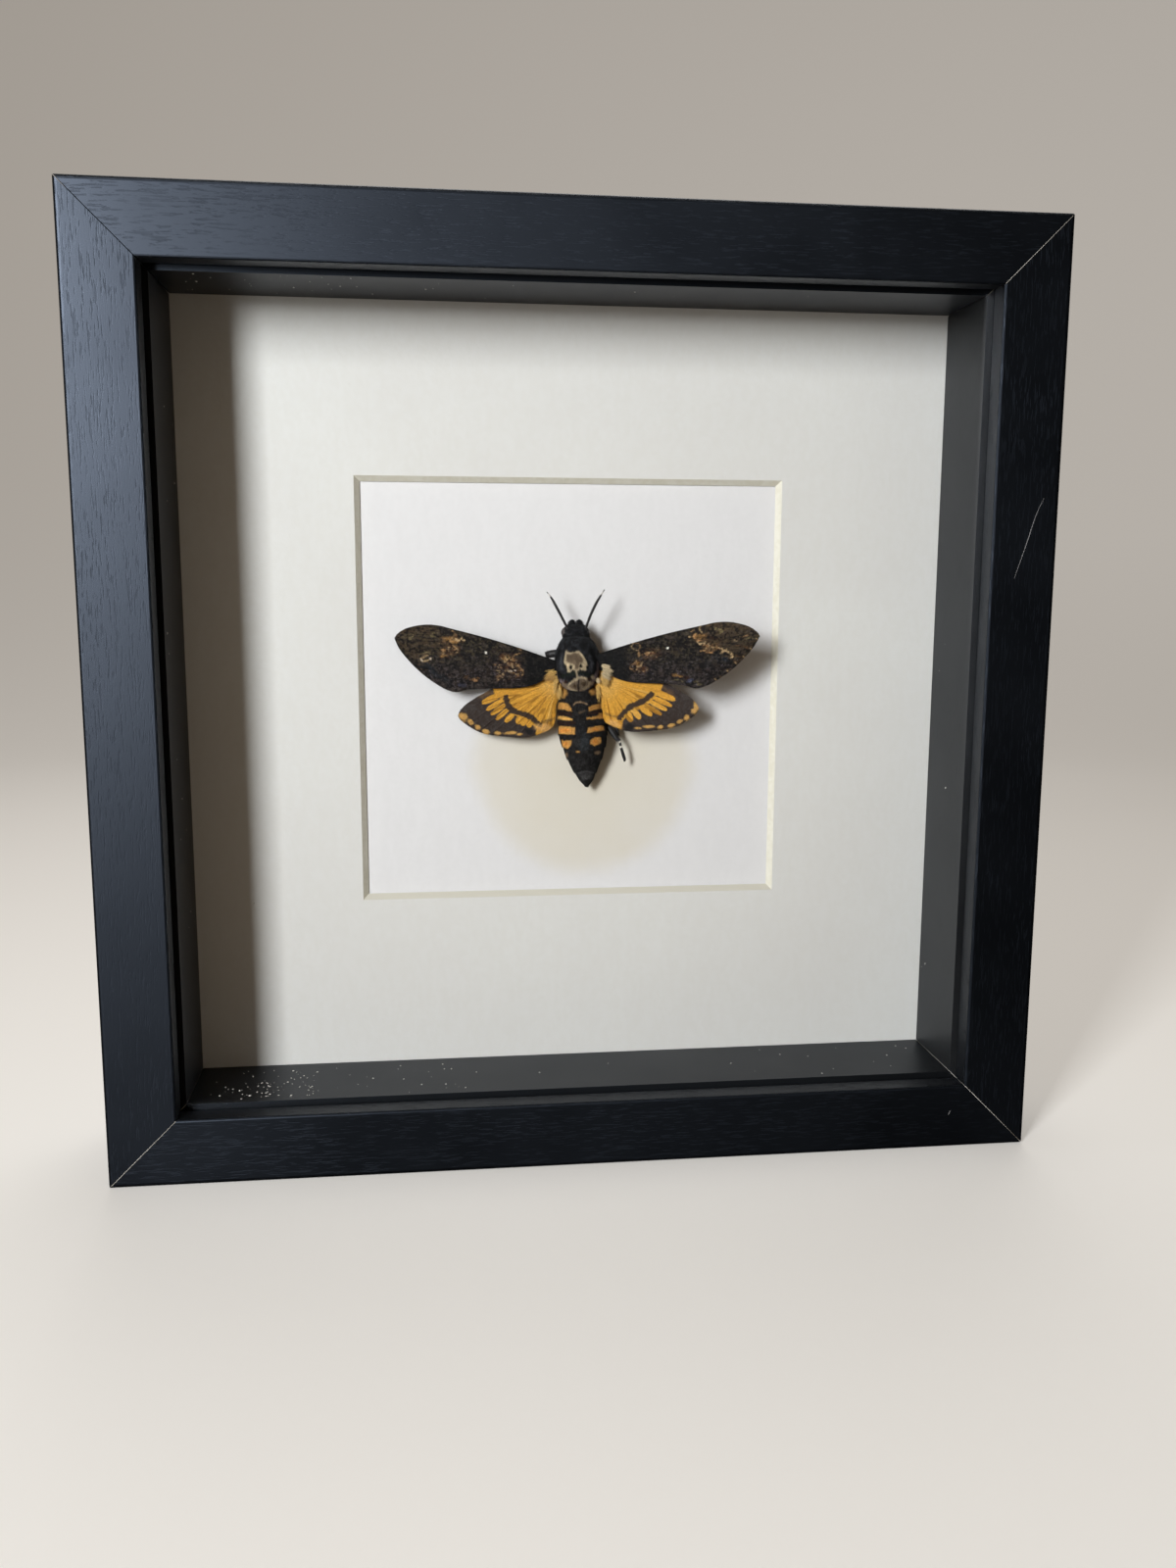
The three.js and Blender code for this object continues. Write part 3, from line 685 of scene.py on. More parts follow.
def wing_form(wing, marks, plane, seed):
    """Both skins of a wing, closed at the rim and painted."""
    top, _, share = wing.surface()
    rows, columns = share.shape
    paint = marks(*as_measured(top, plane), seed)
    edge = np.sin(math.pi * np.clip(share, 0.01, 0.99)) ** 0.4
    skin = SKIN * (0.3 + 0.7 * edge)
    upper, lower = top.copy(), top.copy()
    upper[..., 2] += skin
    lower[..., 2] -= skin
    form = Form()
    faces = [face[::wing.side] for face in grid_faces(rows, columns)]
    form.add(upper, faces, paint)
    form.add(lower, [face[::-1] for face in faces], paint * 0.6 + 0.02)
    ring = list(range(columns))
    ring += [r * columns + columns - 1 for r in range(1, rows)]
    ring += [(rows - 1) * columns + c for c in range(columns - 2, -1, -1)]
    ring += [r * columns for r in range(rows - 2, 0, -1)]
    under = rows * columns
    rim = [[b, a, a + under, b + under] for a, b in zip(ring, ring[1:] + ring[:1])]
    form.faces += [face[::wing.side] for face in rim]
    return form


def add_fringe(form, wing, marks, plane, seed, which, count, first, length, rng):
    """Fine hairs along the outer part of an edge, from the share first of its length."""
    places, outward = wing.rim(count, which)
    keep = np.arange(count) > first * count
    roots, outward = places[keep], outward[keep]
    number = len(roots)
    sideways = rng.normal(0, 0.22, (number, 3))
    sideways[:, 2] *= 0.4
    sizes = length * rng.uniform(0.6, 1.1, number)
    roots = roots - outward * 0.12
    roots[:, 2] += rng.uniform(-0.06, 0.06, number)
    shade = rng.uniform(0.6, 1.2, (number, 1))
    paint = marks(*as_measured(roots, plane), seed) * shade
    add_hairs(form, roots, outward + sideways, UP, sizes, 0.09, 0.02, paint)


# The forewings' marks, in millimetres on a plane 29 deep for the left and 23 for the right.
# Zones are [outline, colour, strength], spots [x, y, half width, half height, colour, strength,
# turn], and lines [points, width, colour, strength]. A strength of 0.9 or a turn of 0 is left out.
LEFT_FOREWING = {
    "plane": 29,
    "outward": -1,
    "root_edge": (-13.8, 9.0),
    "dot": (-24.3, 12.5),
    "zones": [
        ([(-36.5, 18.9), (-35.6, 15.6), (-37.2, 13.8), (-39.4, 12.6), (-42.3, 9.6), (-46, 12), (-50, 17),
          (-46, 20), (-40, 20)], OUTER_BROWN, 0.95),
        ([(-37.0, 14.1), (-34.4, 14.8), (-31.4, 14.5), (-31.8, 12.0), (-34.4, 11.3), (-36.9, 11.6)],
         RUST, 0.85),
        ([(-22.4, 9.3), (-19.6, 12.6), (-17.2, 12.4), (-14.6, 9.6), (-14.2, 5.4), (-21.5, 4.4)],
         MAROON, 0.85),
        ([(-36.6, 16.6), (-32.2, 17.3), (-31.0, 15.5), (-33.6, 14.8), (-36.5, 15.4)], BROWN, 0.85),
    ],
    "spots": [
        (-33.9, 16.0, 1.9, 0.75, OCHRE, 1.0, -8), (-33.2, 15.7, 0.9, 0.4, AMBER),
        (-30.3, 15.9, 0.32, 0.25, CREAM), (-30.9, 13.9, 0.28, 0.45, ASH),
        (-32.9, 13.8, 0.5, 0.65, TAN, 0.95, 20), (-35.9, 13.2, 0.75, 0.35, AMBER, 0.95, -10),
        (-35.7, 11.6, 1.0, 0.35, OCHRE, 0.9, 8), (-34.3, 12.0, 0.5, 0.3, BROWN),
        (-18.8, 10.9, 0.95, 0.7, OCHRE), (-19.8, 11.5, 1.0, 0.6, RUST), (-17.5, 9.4, 0.9, 0.6, RUST),
        (-18.3, 8.4, 1.2, 0.5, RUST, 0.8), (-15.2, 7.4, 0.5, 0.7, BROWN, 0.8),
        (-17.5, 7.4, 0.45, 0.2, CHALK, 1.0, 10), (-16.2, 7.6, 0.26, 0.16, CHALK),
        (-27.4, 4.9, 0.65, 0.5, AMBER, 0.9, 10), (-28.4, 5.1, 0.6, 0.35, BROWN, 0.95),
        (-26.6, 5.5, 0.5, 0.3, BROWN), (-29.8, 5.8, 0.7, 0.5, BROWN, 0.6),
        (-24.1, 4.9, 1.7, 0.8, ASH, 0.45), (-31.0, 3.7, 1.0, 0.7, SLATE, 0.6),
        (-26.8, 3.6, 1.5, 0.5, ASH, 0.7), (-33.0, 2.5, 1.5, 0.5, ASH, 0.8),
        (-19.6, 14.2, 1.3, 0.4, ASH, 0.5, -12), (-24.2, 14.2, 1.1, 0.5, ASH, 0.4, -12),
        (-28.0, 17.0, 1.6, 0.45, ASH, 0.5, -14), (-39.4, 7.8, 2.6, 0.9, BLUE_BLACK, 0.8, -40),
        (-36.0, 5.4, 2.2, 1.0, BLUE_BLACK, 0.7, -30),
    ],
    "lines": [
        ([(-33.4, 18.5), (-32.9, 18.1), (-32.6, 17.5)], 0.42, TAN, 0.8),
        ([(-32.8, 16.2), (-31.9, 15.9), (-31.1, 16.3)], 0.5, CREAM, 1.0),
        ([(-42.2, 12.2), (-40.9, 12.6), (-39.9, 12.5), (-39.3, 11.8)], 0.3, OLIVE * 1.4),
        ([(-40.2, 11.9), (-41.8, 11.1), (-42.1, 10.4), (-40.7, 10.2), (-39.2, 11.0)], 0.32,
         CREAM * 0.75),
        ([(-39.0, 11.2), (-39.4, 10.9)], 0.5, CHALK * 0.8),
        ([(-42.1, 10.7), (-41.7, 10.3)], 0.5, CHALK * 0.7),
        ([(-39.4, 17.2), (-38.5, 17.9), (-37.4, 18.0)], 0.36, OLIVE),
        ([(-39.2, 17.1), (-37.9, 16.7)], 0.36, OLIVE),
        ([(-46.1, 17.2), (-44.9, 17.6), (-43.9, 17.3), (-44.6, 16.7), (-45.5, 16.8)], 0.26, OLIVE, 0.85),
        ([(-45.1, 16.3), (-44.5, 16.2)], 0.36, OLIVE * 1.5),
        ([(-45.6, 15.6), (-41.8, 15.7), (-38.9, 15.6), (-36.2, 15.4)], 0.36, INK, 0.85),
        ([(-45.2, 13.2), (-41.8, 14.6), (-39.4, 15.0)], 0.36, INK, 0.8),
        ([(-42.5, 16.5), (-40.1, 16.4), (-36.6, 16.9)], 0.4, INK, 0.75),
        ([(-44.0, 12.2), (-41.6, 13.4), (-38.4, 13.6)], 0.3, INK, 0.7),
        ([(-15.8, 13.7), (-14.6, 13.2), (-14.4, 12.6), (-15.7, 12.1), (-16.5, 11.6)], 0.36, TAN * 0.8),
        ([(-17.0, 11.0), (-16.7, 10.2)], 0.6, AMBER),
        ([(-15.5, 8.9), (-14.5, 7.9), (-14.0, 6.9), (-14.4, 6.2)], 0.38, TAN, 0.95),
        ([(-16.2, 6.0), (-15.4, 5.6)], 0.3, BROWN, 0.8),
    ],
}
RIGHT_FOREWING = {
    "plane": 23,
    "outward": 1,
    "root_edge": (14.2, 9.5),
    "dot": (25.2, 13.9),
    "nicks": [(50.2, 16.3), (48.7, 13.5), (46.7, 11.4), (44.6, 9.6), (42.2, 7.5), (38.9, 5.2)],
    "zones": [
        ([(35.8, 20.4), (36.4, 16.6), (38.0, 14.6), (41.0, 14.2), (43.6, 12.4), (43.4, 9.2), (48, 12),
          (52, 17), (48, 21.5), (41, 22)], OUTER_BROWN, 0.95),
        ([(32.2, 17.6), (36.2, 18.0), (36.4, 16.0), (33.2, 15.6)], BROWN, 0.9),
        ([(35.6, 16.0), (39.6, 15.0), (40.4, 13.6), (36.0, 12.2), (34.9, 14.0)], BROWN, 0.8),
        ([(18.0, 13.3), (23.2, 13.9), (22.3, 11.2), (18.3, 11.2)], RUST, 0.7),
        ([(14.8, 9.6), (18.2, 10.8), (20.4, 8.0), (18.6, 6.6), (15.6, 7.4)], MAROON, 0.8),
    ],
    "spots": [
        (34.3, 17.0, 1.6, 0.7, OCHRE, 1.0), (35.2, 17.3, 0.5, 0.25, AMBER, 0.8),
        (31.3, 17.0, 0.3, 0.25, CREAM, 1.0), (37.1, 12.7, 0.75, 0.3, AMBER * 1.2, 0.95, -8),
        (34.5, 13.1, 0.32, 0.25, TAN), (35.4, 13.2, 0.4, 0.22, TAN), (40.7, 11.3, 0.26, 0.2, CHALK * 0.8),
        (19.6, 12.4, 0.6, 0.5, AMBER, 0.95), (18.6, 12.1, 0.7, 0.4, BROWN),
        (21.2, 12.6, 0.9, 0.35, RUST * 1.4), (16.9, 9.5, 1.1, 0.75, BROWN, 0.95, 10),
        (17.0, 9.7, 0.6, 0.3, OCHRE, 0.8), (18.4, 8.2, 1.2, 0.6, RUST, 0.8),
        (27.6, 6.5, 0.85, 0.4, OCHRE * 1.15, 1.0, -5), (29.0, 6.1, 0.5, 0.3, OCHRE),
        (26.6, 6.6, 0.4, 0.3, BROWN), (30.4, 5.8, 1.0, 0.5, MAROON * 1.2, 0.95, -10),
        (31.8, 5.1, 0.75, 0.5, SLATE, 1.0, 10), (31.2, 4.6, 0.5, 0.3, SLATE * 0.8, 0.8),
        (33.4, 4.6, 0.7, 0.35, OLIVE), (34.3, 3.9, 0.6, 0.25, OLIVE * 1.2),
        (20.5, 15.7, 1.7, 0.45, ASH, 0.5, 14), (25.7, 16.9, 1.7, 0.45, ASH, 0.5, 14),
        (30.7, 18.0, 1.4, 0.4, ASH, 0.5, 12), (39.9, 10.9, 2.2, 1.1, BLUE_BLACK, 0.95, -8),
        (37.4, 9.6, 1.6, 1.0, BLUE_BLACK, 0.5),
    ],
    "lines": [
        ([(15.7, 15.3), (15.2, 14.5), (15.7, 13.7), (16.8, 13.2)], 0.38, CREAM * 0.85, 0.95),
        ([(15.9, 15.3), (17.1, 15.1), (17.6, 14.3), (17.1, 13.5)], 0.3, TAN * 0.7, 0.85),
        ([(17.1, 12.9), (17.2, 11.8)], 0.36, TAN * 0.9),
        ([(16.5, 10.4), (15.6, 9.5), (14.6, 8.5), (15.4, 8.2)], 0.38, TAN, 0.95),
        ([(34.3, 20.1), (34.1, 19.0), (34.6, 18.2)], 0.42, CREAM * 0.85, 0.95),
        ([(32.6, 18.9), (31.8, 18.5)], 0.32, TAN * 0.8),
        ([(33.0, 17.7), (32.4, 16.9), (33.2, 16.1), (34.8, 16.0)], 0.38, AMBER * 1.25, 0.95),
        ([(33.5, 15.7), (34.0, 15.0), (35.1, 15.1), (35.6, 15.5)], 0.5, CREAM, 0.95),
        ([(35.6, 14.4), (37.2, 14.4), (38.4, 13.8)], 0.55, AMBER, 0.95),
        ([(39.5, 14.0), (41.5, 13.3), (43.2, 12.4)], 0.36, CREAM * 0.85, 0.95),
        ([(40.2, 12.5), (41.5, 13.2), (41.9, 13.8)], 0.34, CREAM * 0.75),
        ([(40.3, 13.2), (42.0, 13.0)], 0.3, CREAM * 0.8),
        ([(42.3, 12.8), (43.3, 12.3), (43.6, 11.4), (42.5, 11.3)], 0.44, CREAM, 1.0),
        ([(38.5, 19.2), (39.9, 19.0), (40.4, 18.4), (39.4, 17.9)], 0.5, OLIVE * 1.3),
        ([(46.1, 16.9), (47.5, 17.3)], 0.34, TAN),
        ([(46.8, 16.2), (47.9, 16.6), (49.5, 16.4)], 0.28, OLIVE * 1.2, 0.85),
        ([(43.9, 16.1), (44.5, 15.8)], 0.32, CREAM),
        ([(36.7, 17.3), (38.2, 16.6), (39.9, 16.1)], 0.8, MAROON),
        ([(40.6, 16.6), (44.4, 17.0), (48.4, 18.4)], 0.34, INK, 0.7),
        ([(40.4, 15.2), (44.8, 15.0), (49.0, 14.9)], 0.38, INK, 0.75),
        ([(41.0, 19.8), (44.4, 19.4), (47.6, 18.9)], 0.3, INK, 0.6),
        ([(44.5, 14.5), (47.1, 14.2), (48.1, 13.0)], 0.36, BROWN, 0.8),
        ([(43.6, 12.0), (46.6, 10.9), (44.0, 10.0)], 0.36, BROWN, 0.7),
        ([(26.4, 4.9), (28.1, 5.3), (29.6, 4.7)], 0.32, OLIVE),
    ],
}


def forewing_paint(plan):
    """A function that paints a forewing from its lists of marks."""
    outward = plan["outward"]

    def marks(x, y, seed):
        paint = Paint(x, y, INK, seed)
        paint.lay(smooth_step(0.0, 0.8, paint.roughness(2.6)) * 0.5, UMBER)
        out = (x - plan["root_edge"][0]) * outward + 1.2 * layered_noise(x / 2, y / 2, seed + 2)
        beyond_root = smooth_step(-1.4, 1.4, out)
        lower = smooth_step(4.0, -2.0, y - plan["root_edge"][1]) * beyond_root
        paint.lay(1 - beyond_root, ROOT_BLACK)
        for outline, colour, strength in plan["zones"]:
            paint.area(outline, colour, strength, 0.6, 0.8, 0.35)
            if colour is not OUTER_BROWN:
                paint.speckle(outline, 0.7, AMBER * 0.9, 0.65)
        streaks = layered_noise(x / 4.5, (y - 0.12 * outward * x) / 0.42, seed + 4)
        far_out = smooth_step(20.5, 24.0, out)
        paint.lay(smooth_step(0.0, 0.5, streaks) * far_out * 0.85, INK)
        paint.lay(smooth_step(0.3, 0.8, -streaks) * far_out * 0.5, TAN * 0.55)
        paint.web(1.2, ASH, 0.12 + 0.26 * beyond_root)
        paint.web(0.8, MAUVE * 1.1, 0.5 * lower)
        paint.web(0.9, OLIVE * 0.9, 0.3 * beyond_root * (1 - lower))
        for place in plan["spots"]:
            paint.spot(*place)
        for stroke in plan["lines"]:
            paint.stroke(*stroke)
        for outline, colour, _ in plan["zones"]:
            if colour is not OUTER_BROWN:
                paint.speckle(outline, 0.5, CREAM * 0.85, 0.7)
                paint.speckle(outline, 0.8, INK, 0.7)
        paint.colour *= FOREWING_WARMTH
        paint.lay(smooth_step(0.35, 0.7, paint.roughness(0.42)) * (0.12 + 0.33 * lower), MAUVE * 2.2)
        paint.lay(smooth_step(0.05, 0.4, paint.roughness(0.6)) * 0.85, INK * 0.5)
        for place in plan.get("nicks", ()):
            paint.cloud(*place, 0.55, 0.13, TAN, 0.95, -38, 0.2)
        paint.cloud(*plan["dot"], 0.6, 0.6, INK * 0.5, 0.9, ragged=0.1)
        paint.cloud(*plan["dot"], 0.34, 0.34, CHALK * 1.1, 1.0, ragged=0.05, edge=0.25)
        return paint.colour

    return marks


# The hindwings' marks, on a plane 31 deep for the left and 27 for the right. The border's inner
# edge runs through the roots of the petals, which are laid over it as [root, tip, half width].
LEFT_HINDWING = {
    "plane": 31,
    "hinge": (-4.5, 4.5),
    "border": [(-22.6, 2.9), (-21.8, 1.0), (-20.2, -0.4), (-19.4, -1.7), (-18.5, -3.1), (-17.0, -4.5),
               (-15.2, -5.5), (-13.2, -6.6), (-11.0, -8.0), (-10.2, -8.8), (-10.6, -11.6), (-20, -13),
               (-34, -9), (-36, -2), (-28, 3)],
    "petals": [
        ((-20.0, 0.9), (-25.3, -1.5), 0.9), ((-19.4, -0.6), (-24.1, -3.5), 0.72),
        ((-18.7, -1.9), (-22.9, -4.8), 0.68), ((-17.9, -3.1), (-21.5, -6.2), 0.68),
        ((-16.4, -4.3), (-19.0, -6.9), 0.8), ((-14.7, -5.1), (-15.6, -7.5), 0.85),
        ((-13.9, -5.5), (-14.0, -8.0), 0.9), ((-12.8, -6.2), (-12.0, -8.5), 0.85),
    ],
    "band": [(-18.7, 0.0), (-18.5, -1.4), (-18.0, -2.7), (-16.9, -3.7), (-14.9, -4.4), (-12.6, -5.2),
             (-11.0, -6.3), (-9.5, -7.8)],
    "tails": [[(-10.2, -7.7), (-7.9, -7.2), (-6.1, -6.6)], [(-8.7, -6.9), (-6.3, -6.3), (-4.9, -5.9)]],
    "ochre": [(-24.4, 2.4), (-22.6, 1.2), (-25.2, -0.2), (-27.2, 0.6)],
    "spots": [(-30.6, -5.5, 1.4, 0.95, -55), (-28.4, -7.0, 0.9, 0.6, -42), (-26.7, -8.3, 0.85, 0.6, -35),
              (-24.4, -9.6, 0.9, 0.5, -18), (-21.2, -10.0, 0.9, 0.42, -5), (-17.4, -10.0, 1.6, 0.42, 3),
              (-14.9, -10.4, 0.9, 0.36, 0)],
    "lobe": (-12.3, -9.7, 1.3, 0.95),
    "inner_corner": (-8.2, -8.8, 2.2, 1.1),
    "smoky": (-29.2, -2.8, 2.4, 1.2),
}
RIGHT_HINDWING = {
    "plane": 27,
    "hinge": (8.0, 4.8),
    "border": [(24.8, 3.9), (24.2, 1.8), (22.7, 0.2), (21.6, -1.1), (20.2, -2.2), (18.8, -3.0),
               (16.6, -3.9), (14.8, -4.8), (13.5, -6.6), (13.0, -9.6), (20, -11), (32, -10), (38, -3),
               (35, 3)],
    "petals": [
        ((22.4, 1.7), (28.2, -0.7), 0.9), ((21.7, 0.2), (27.3, -2.4), 0.7),
        ((20.8, -0.9), (25.9, -3.6), 0.68), ((19.7, -1.9), (24.4, -4.8), 0.68),
        ((18.4, -2.7), (21.7, -5.0), 0.78), ((16.4, -3.4), (18.5, -5.9), 0.85),
        ((14.8, -4.2), (16.0, -6.7), 0.9),
    ],
    "band": [(21.4, 0.9), (20.1, -0.3), (17.7, -1.6), (15.7, -2.5), (14.2, -3.7), (12.6, -5.6)],
    "tails": [[(8.6, -4.2), (10.2, -5.0), (12.4, -5.5)]],
    "ochre": [(24.4, 3.2), (27.4, 1.6), (28.4, -0.2), (26.2, 0.9)],
    "spots": [(34.2, -2.4, 0.75, 1.5, 8), (33.6, -3.9, 0.9, 0.75, 60), (31.6, -5.7, 1.0, 0.65, 38),
              (29.7, -6.8, 0.8, 0.6, 28), (27.2, -7.9, 1.0, 0.45, 14), (24.2, -8.3, 0.9, 0.42, 5),
              (20.8, -8.2, 1.5, 0.4, 0), (17.8, -8.6, 0.9, 0.34, 0)],
    "lobe": (15.2, -8.2, 1.5, 0.95),
    "inner_corner": (11.0, -7.4, 2.0, 1.1),
    "smoky": (32.2, 0.2, 2.2, 1.0),
}


def hindwing_paint(plan):
    """A function that paints a hindwing: yellow, with its black band, dark border and spots."""

    def marks(x, y, seed):
        paint = Paint(x, y, YELLOW, seed)
        hx, hy = plan["hinge"]
        turn = np.arctan2(y - hy, (x - hx) * np.sign(hx))
        away = np.hypot(x - hx, y - hy)
        # Painted shade and light of the wing's folds: darker, more orange streaks in them and paler streaks
        # between, then darker creases.
        ray = layered_noise(turn * 11, away / 12, seed + 1, 4)
        fold_shade = smooth_step(0.1, 0.75, ray)
        pale = smooth_step(0.15, 0.8, -ray)
        paint.lay(fold_shade * 0.7 * smooth_step(1, 5, away), FOLD_SHADE)
        paint.lay(pale * 0.6, PALE_YELLOW)
        crease_shade = smooth_step(0.12, 0.02, np.abs(layered_noise(turn * 9, away / 20, seed + 2, 2)))
        paint.lay(crease_shade * 0.7 * smooth_step(2, 6, away), FOLD_SHADE * 0.55)
        paint.lay(smooth_step(7.0, 2.0, away) * 0.5, PALE_YELLOW)
        petals = Paint(x, y, BORDER, seed + 3)
        petals.web(0.8, ASH, 0.3)
        petals.cloud(*plan["smoky"], ASH, 0.35, flecks=0.6)
        petals.area(plan["ochre"], BROWN * 1.2, 0.8, 0.7, 0.5, 0.2)
        ground = paint.colour.copy()
        for root, tip, half_width in plan["petals"]:
            petals.petal(root, tip, half_width, ground * 1.04)
        paint.area(plan["border"], petals.colour, 1.0, 0.16, 0.1)
        paint.line(smooth_line(plan["band"], 24).tolist(), 1.55, BAND, 0.97, 0.16, 0.25)
        for tail in plan["tails"]:
            paint.line(tail, 0.5, BROWN * 0.75, 0.75, 0.25, 0.3, 0.3)
        paint.cloud(*plan["lobe"], INK, 0.85)
        for x0, y0, wide, high, tilt in plan["spots"]:
            paint.cloud(x0, y0, wide, high, SPOT_YELLOW, 0.95, tilt, 0.5, 0.4)
        paint.cloud(*plan["inner_corner"], PEACH, 0.75, -15, 0.5, 0.6, 0.2)
        paint.colour *= (1 + 0.14 * layered_noise(x / 0.5, y / 0.4, seed + 4, 2))[:, None]
        return paint.colour

    return marks


LOOSE_SCALE = 0.42  # the length of a loose scale


def scale_fuzz(form, wing, marks, plane, seed, count, rng):
    """Loose scales that stand off the upper skin."""
    top, _, share = wing.surface()
    rows, columns = share.shape
    row = rng.integers(1, rows - 2, count)
    column = rng.integers(1, columns - 2, count)
    roots = top[row, column] + rng.normal(0, 0.06, (count, 3)) * [1, 1, 0]
    roots[:, 2] += SKIN
    outward = top[row + 1, column] - top[row, column]
    outward = unit(outward) + rng.normal(0, 0.25, (count, 3)) * [1, 1, 0.2]
    paint = marks(*as_measured(roots, plane), seed) * rng.uniform(0.75, 1.3, (count, 1))
    sizes = LOOSE_SCALE * rng.uniform(0.5, 1.1, count)
    add_hairs(form, roots, outward, UP, sizes, 0.13, 0.05, paint)


# Each wing: its outline, marks and seed, then its side, hinge, swing in degrees, and the height of
# its root, rise, arch and droop
WINGS = {
    "forewing_left": (FOREWING, LEFT_FOREWING, 11, -1, (-5.5, 8.2), 1.3, 8.4, -3, 0.5, 0.6),
    "forewing_right": (FOREWING, RIGHT_FOREWING, 23, 1, (6.5, 10), 0, 9.6, 6.2, 0.6, 1.2),
    "hindwing_left": (HINDWING, LEFT_HINDWING, 37, -1, (-4.9, 3.2), 0, 6.6, -2.2, 0.4, 1.1),
    "hindwing_right": (HINDWING, RIGHT_HINDWING, 41, 1, (7.7, 4.9), 0, 8.2, 2.2, 0.4, 1.1),
}
# Each kind: its paint, spans and chords of its mesh, number of loose scales, and fringe length
WING_KINDS = {
    "forewing": (forewing_paint, 250, 92, 16000, 0.3),
    "hindwing": (hindwing_paint, 200, 104, 11000, 0.45),
}


def make_wings():
    materials = {
        "forewing": painted_material("forewing_scales", 0.75, 5200.0, 0.00012, 0.35, 0.0, 0.14),
        "hindwing": painted_material("hindwing_scales", 0.75, 4200.0, 0.0001, 0.14, 0.0, 0.18),
    }
    for name, (outline, plan, seed, *setting) in WINGS.items():
        kind = name.split("_")[0]
        paint_for, spans, chords, scales, fringe = WING_KINDS[kind]
        wing = Wing(outline, *setting, spans, chords)
        painted = (paint_for(plan), plan["plane"], seed)
        rng = np.random.default_rng(seed)
        form = wing_form(wing, *painted)
        scale_fuzz(form, wing, *painted, scales, rng)
        add_fringe(form, wing, *painted, "trailing", 1500, 0.05, fringe, rng)
        add_fringe(form, wing, *painted, "leading", 500, 0.75, 0.2, rng)
        form.finish(name + "_scales", materials[kind], kind + "_scales", name)


# Body stations as [y, centre x, half width, top height, bottom height]
THORAX = [
    (17.4, 0.8, 1.8, 8.4, 4.6), (16.4, 0.8, 3.6, 10, 3), (14.8, 0.9, 5, 11.6, 1.9),
    (12.4, 0.95, 6, 12.5, 1.4), (9.6, 1, 6.3, 12.9, 1.2), (6.8, 1.1, 6.2, 12.4, 1.2),
    (4.4, 1.3, 5.3, 11.2, 1.4), (2.6, 1.4, 3.8, 9.6, 2.4), (1.6, 1.4, 1.6, 7.8, 4.4),
]
HEAD = [
    (20.3, 0.6, 1.5, 7.2, 4.8), (19.7, 0.6, 2.6, 8.2, 3.9), (18.6, 0.6, 3.5, 9, 3),
    (17, 0.7, 3.8, 9.4, 2.6), (15.2, 0.8, 3.4, 9, 3),
]
ABDOMEN = [
    (3.4, 1.6, 4.6, 8.6, 1.8), (0, 1.8, 5.8, 9.3, 1.1), (-4, 2.2, 6.6, 9.6, 1), (-8.2, 2.6, 7, 9.4, 1),
    (-11.4, 2.9, 6.9, 8.8, 1), (-14.8, 3.2, 6, 8, 1.1), (-18, 3.4, 4.9, 7, 1.3),
    (-21, 3.6, 3.5, 6.1, 1.8), (-23.7, 3.9, 2.2, 5.2, 2.6), (-25.5, 4.1, 0.7, 4.4, 3.4),
]
SEGMENT_ENDS = [-1.2, -4.6, -7.6, -10.8, -14.2, -17.8, -21.6]
TAIL_END = -25.5
SEGMENT_STEP = 0.28
BODY_PLANE = 28
BODY_STEPS = 400
BEYOND = 99  # further than any part of the moth
LOWEST_FUR = -0.4  # the angle on a body part's sides where its fur ends


class Body:
    """A part of the body: an ellipse swept through stations."""

    def __init__(self, stations, inset, segmented=False):
        self.line = smooth_line(stations, BODY_STEPS)
        self.inset, self.segmented = inset, segmented

    def place(self, share, angle):
        steps = np.linspace(0, 1, BODY_STEPS)
        y, x, wide, top, bottom = [np.interp(share, steps, column) for column in self.line.T]
        inset = self.inset * np.minimum(1, wide)
        if self.segmented:
            starts = np.array([ABDOMEN[0][0] + BEYOND, *SEGMENT_ENDS])
            which = np.clip(np.searchsorted(-starts, -y) - 1, 0, len(starts) - 1)
            start = np.where(which == 0, ABDOMEN[0][0], starts[which])
            ends = np.append(SEGMENT_ENDS, TAIL_END)[which]
            step = SEGMENT_STEP * np.clip((start - y) / (start - ends), 0, 1)
            inset = inset - step * (y > SEGMENT_ENDS[-1])
        middle, half = (top + bottom) / 2, (top - bottom) / 2 - inset
        return np.stack([x + (wide - inset) * np.cos(angle), y, middle + half * np.sin(angle)], -1)

    def add_skin(self, form, marks, seed, rows, columns):
        share = np.linspace(0, 1, rows)[:, None] + np.zeros(columns)
        angle = np.linspace(0, 2 * math.pi, columns, endpoint=False) + 0 * share
        places = self.place(share, angle)
        paint = marks(*as_measured(places, BODY_PLANE), seed) * 0.75
        form.add(places, capped_faces(rows, columns), paint)

    def add_fur(self, form, marks, seed, count, length, lift, rng):
        """Hairs that lean back, all over the part down to an angle low on its sides."""
        share = rng.uniform(0.004, 0.996, count)
        angle = rng.uniform(LOWEST_FUR, math.pi - LOWEST_FUR, count)
        roots = self.place(share, angle)
        back = self.place(share + 0.004, angle) - self.place(share - 0.004, angle)
        round_way = self.place(share, angle + 0.02) - self.place(share, angle - 0.02)
        normals = unit(np.cross(round_way, back))
        along = unit(back) + rng.normal(0, 0.3, (count, 3))
        along -= normals * np.sum(along * normals, -1, keepdims=True)
        sizes = length * rng.uniform(0.55, 1.2, count)
        seen = roots + unit(along) * sizes[:, None] * 0.6
        paint = marks(*as_measured(seen, BODY_PLANE), seed) * rng.uniform(0.7, 1.4, (count, 1))
        add_hairs(form, roots, along, normals, sizes, 0.1, lift * rng.uniform(0.4, 1.2, count), paint)


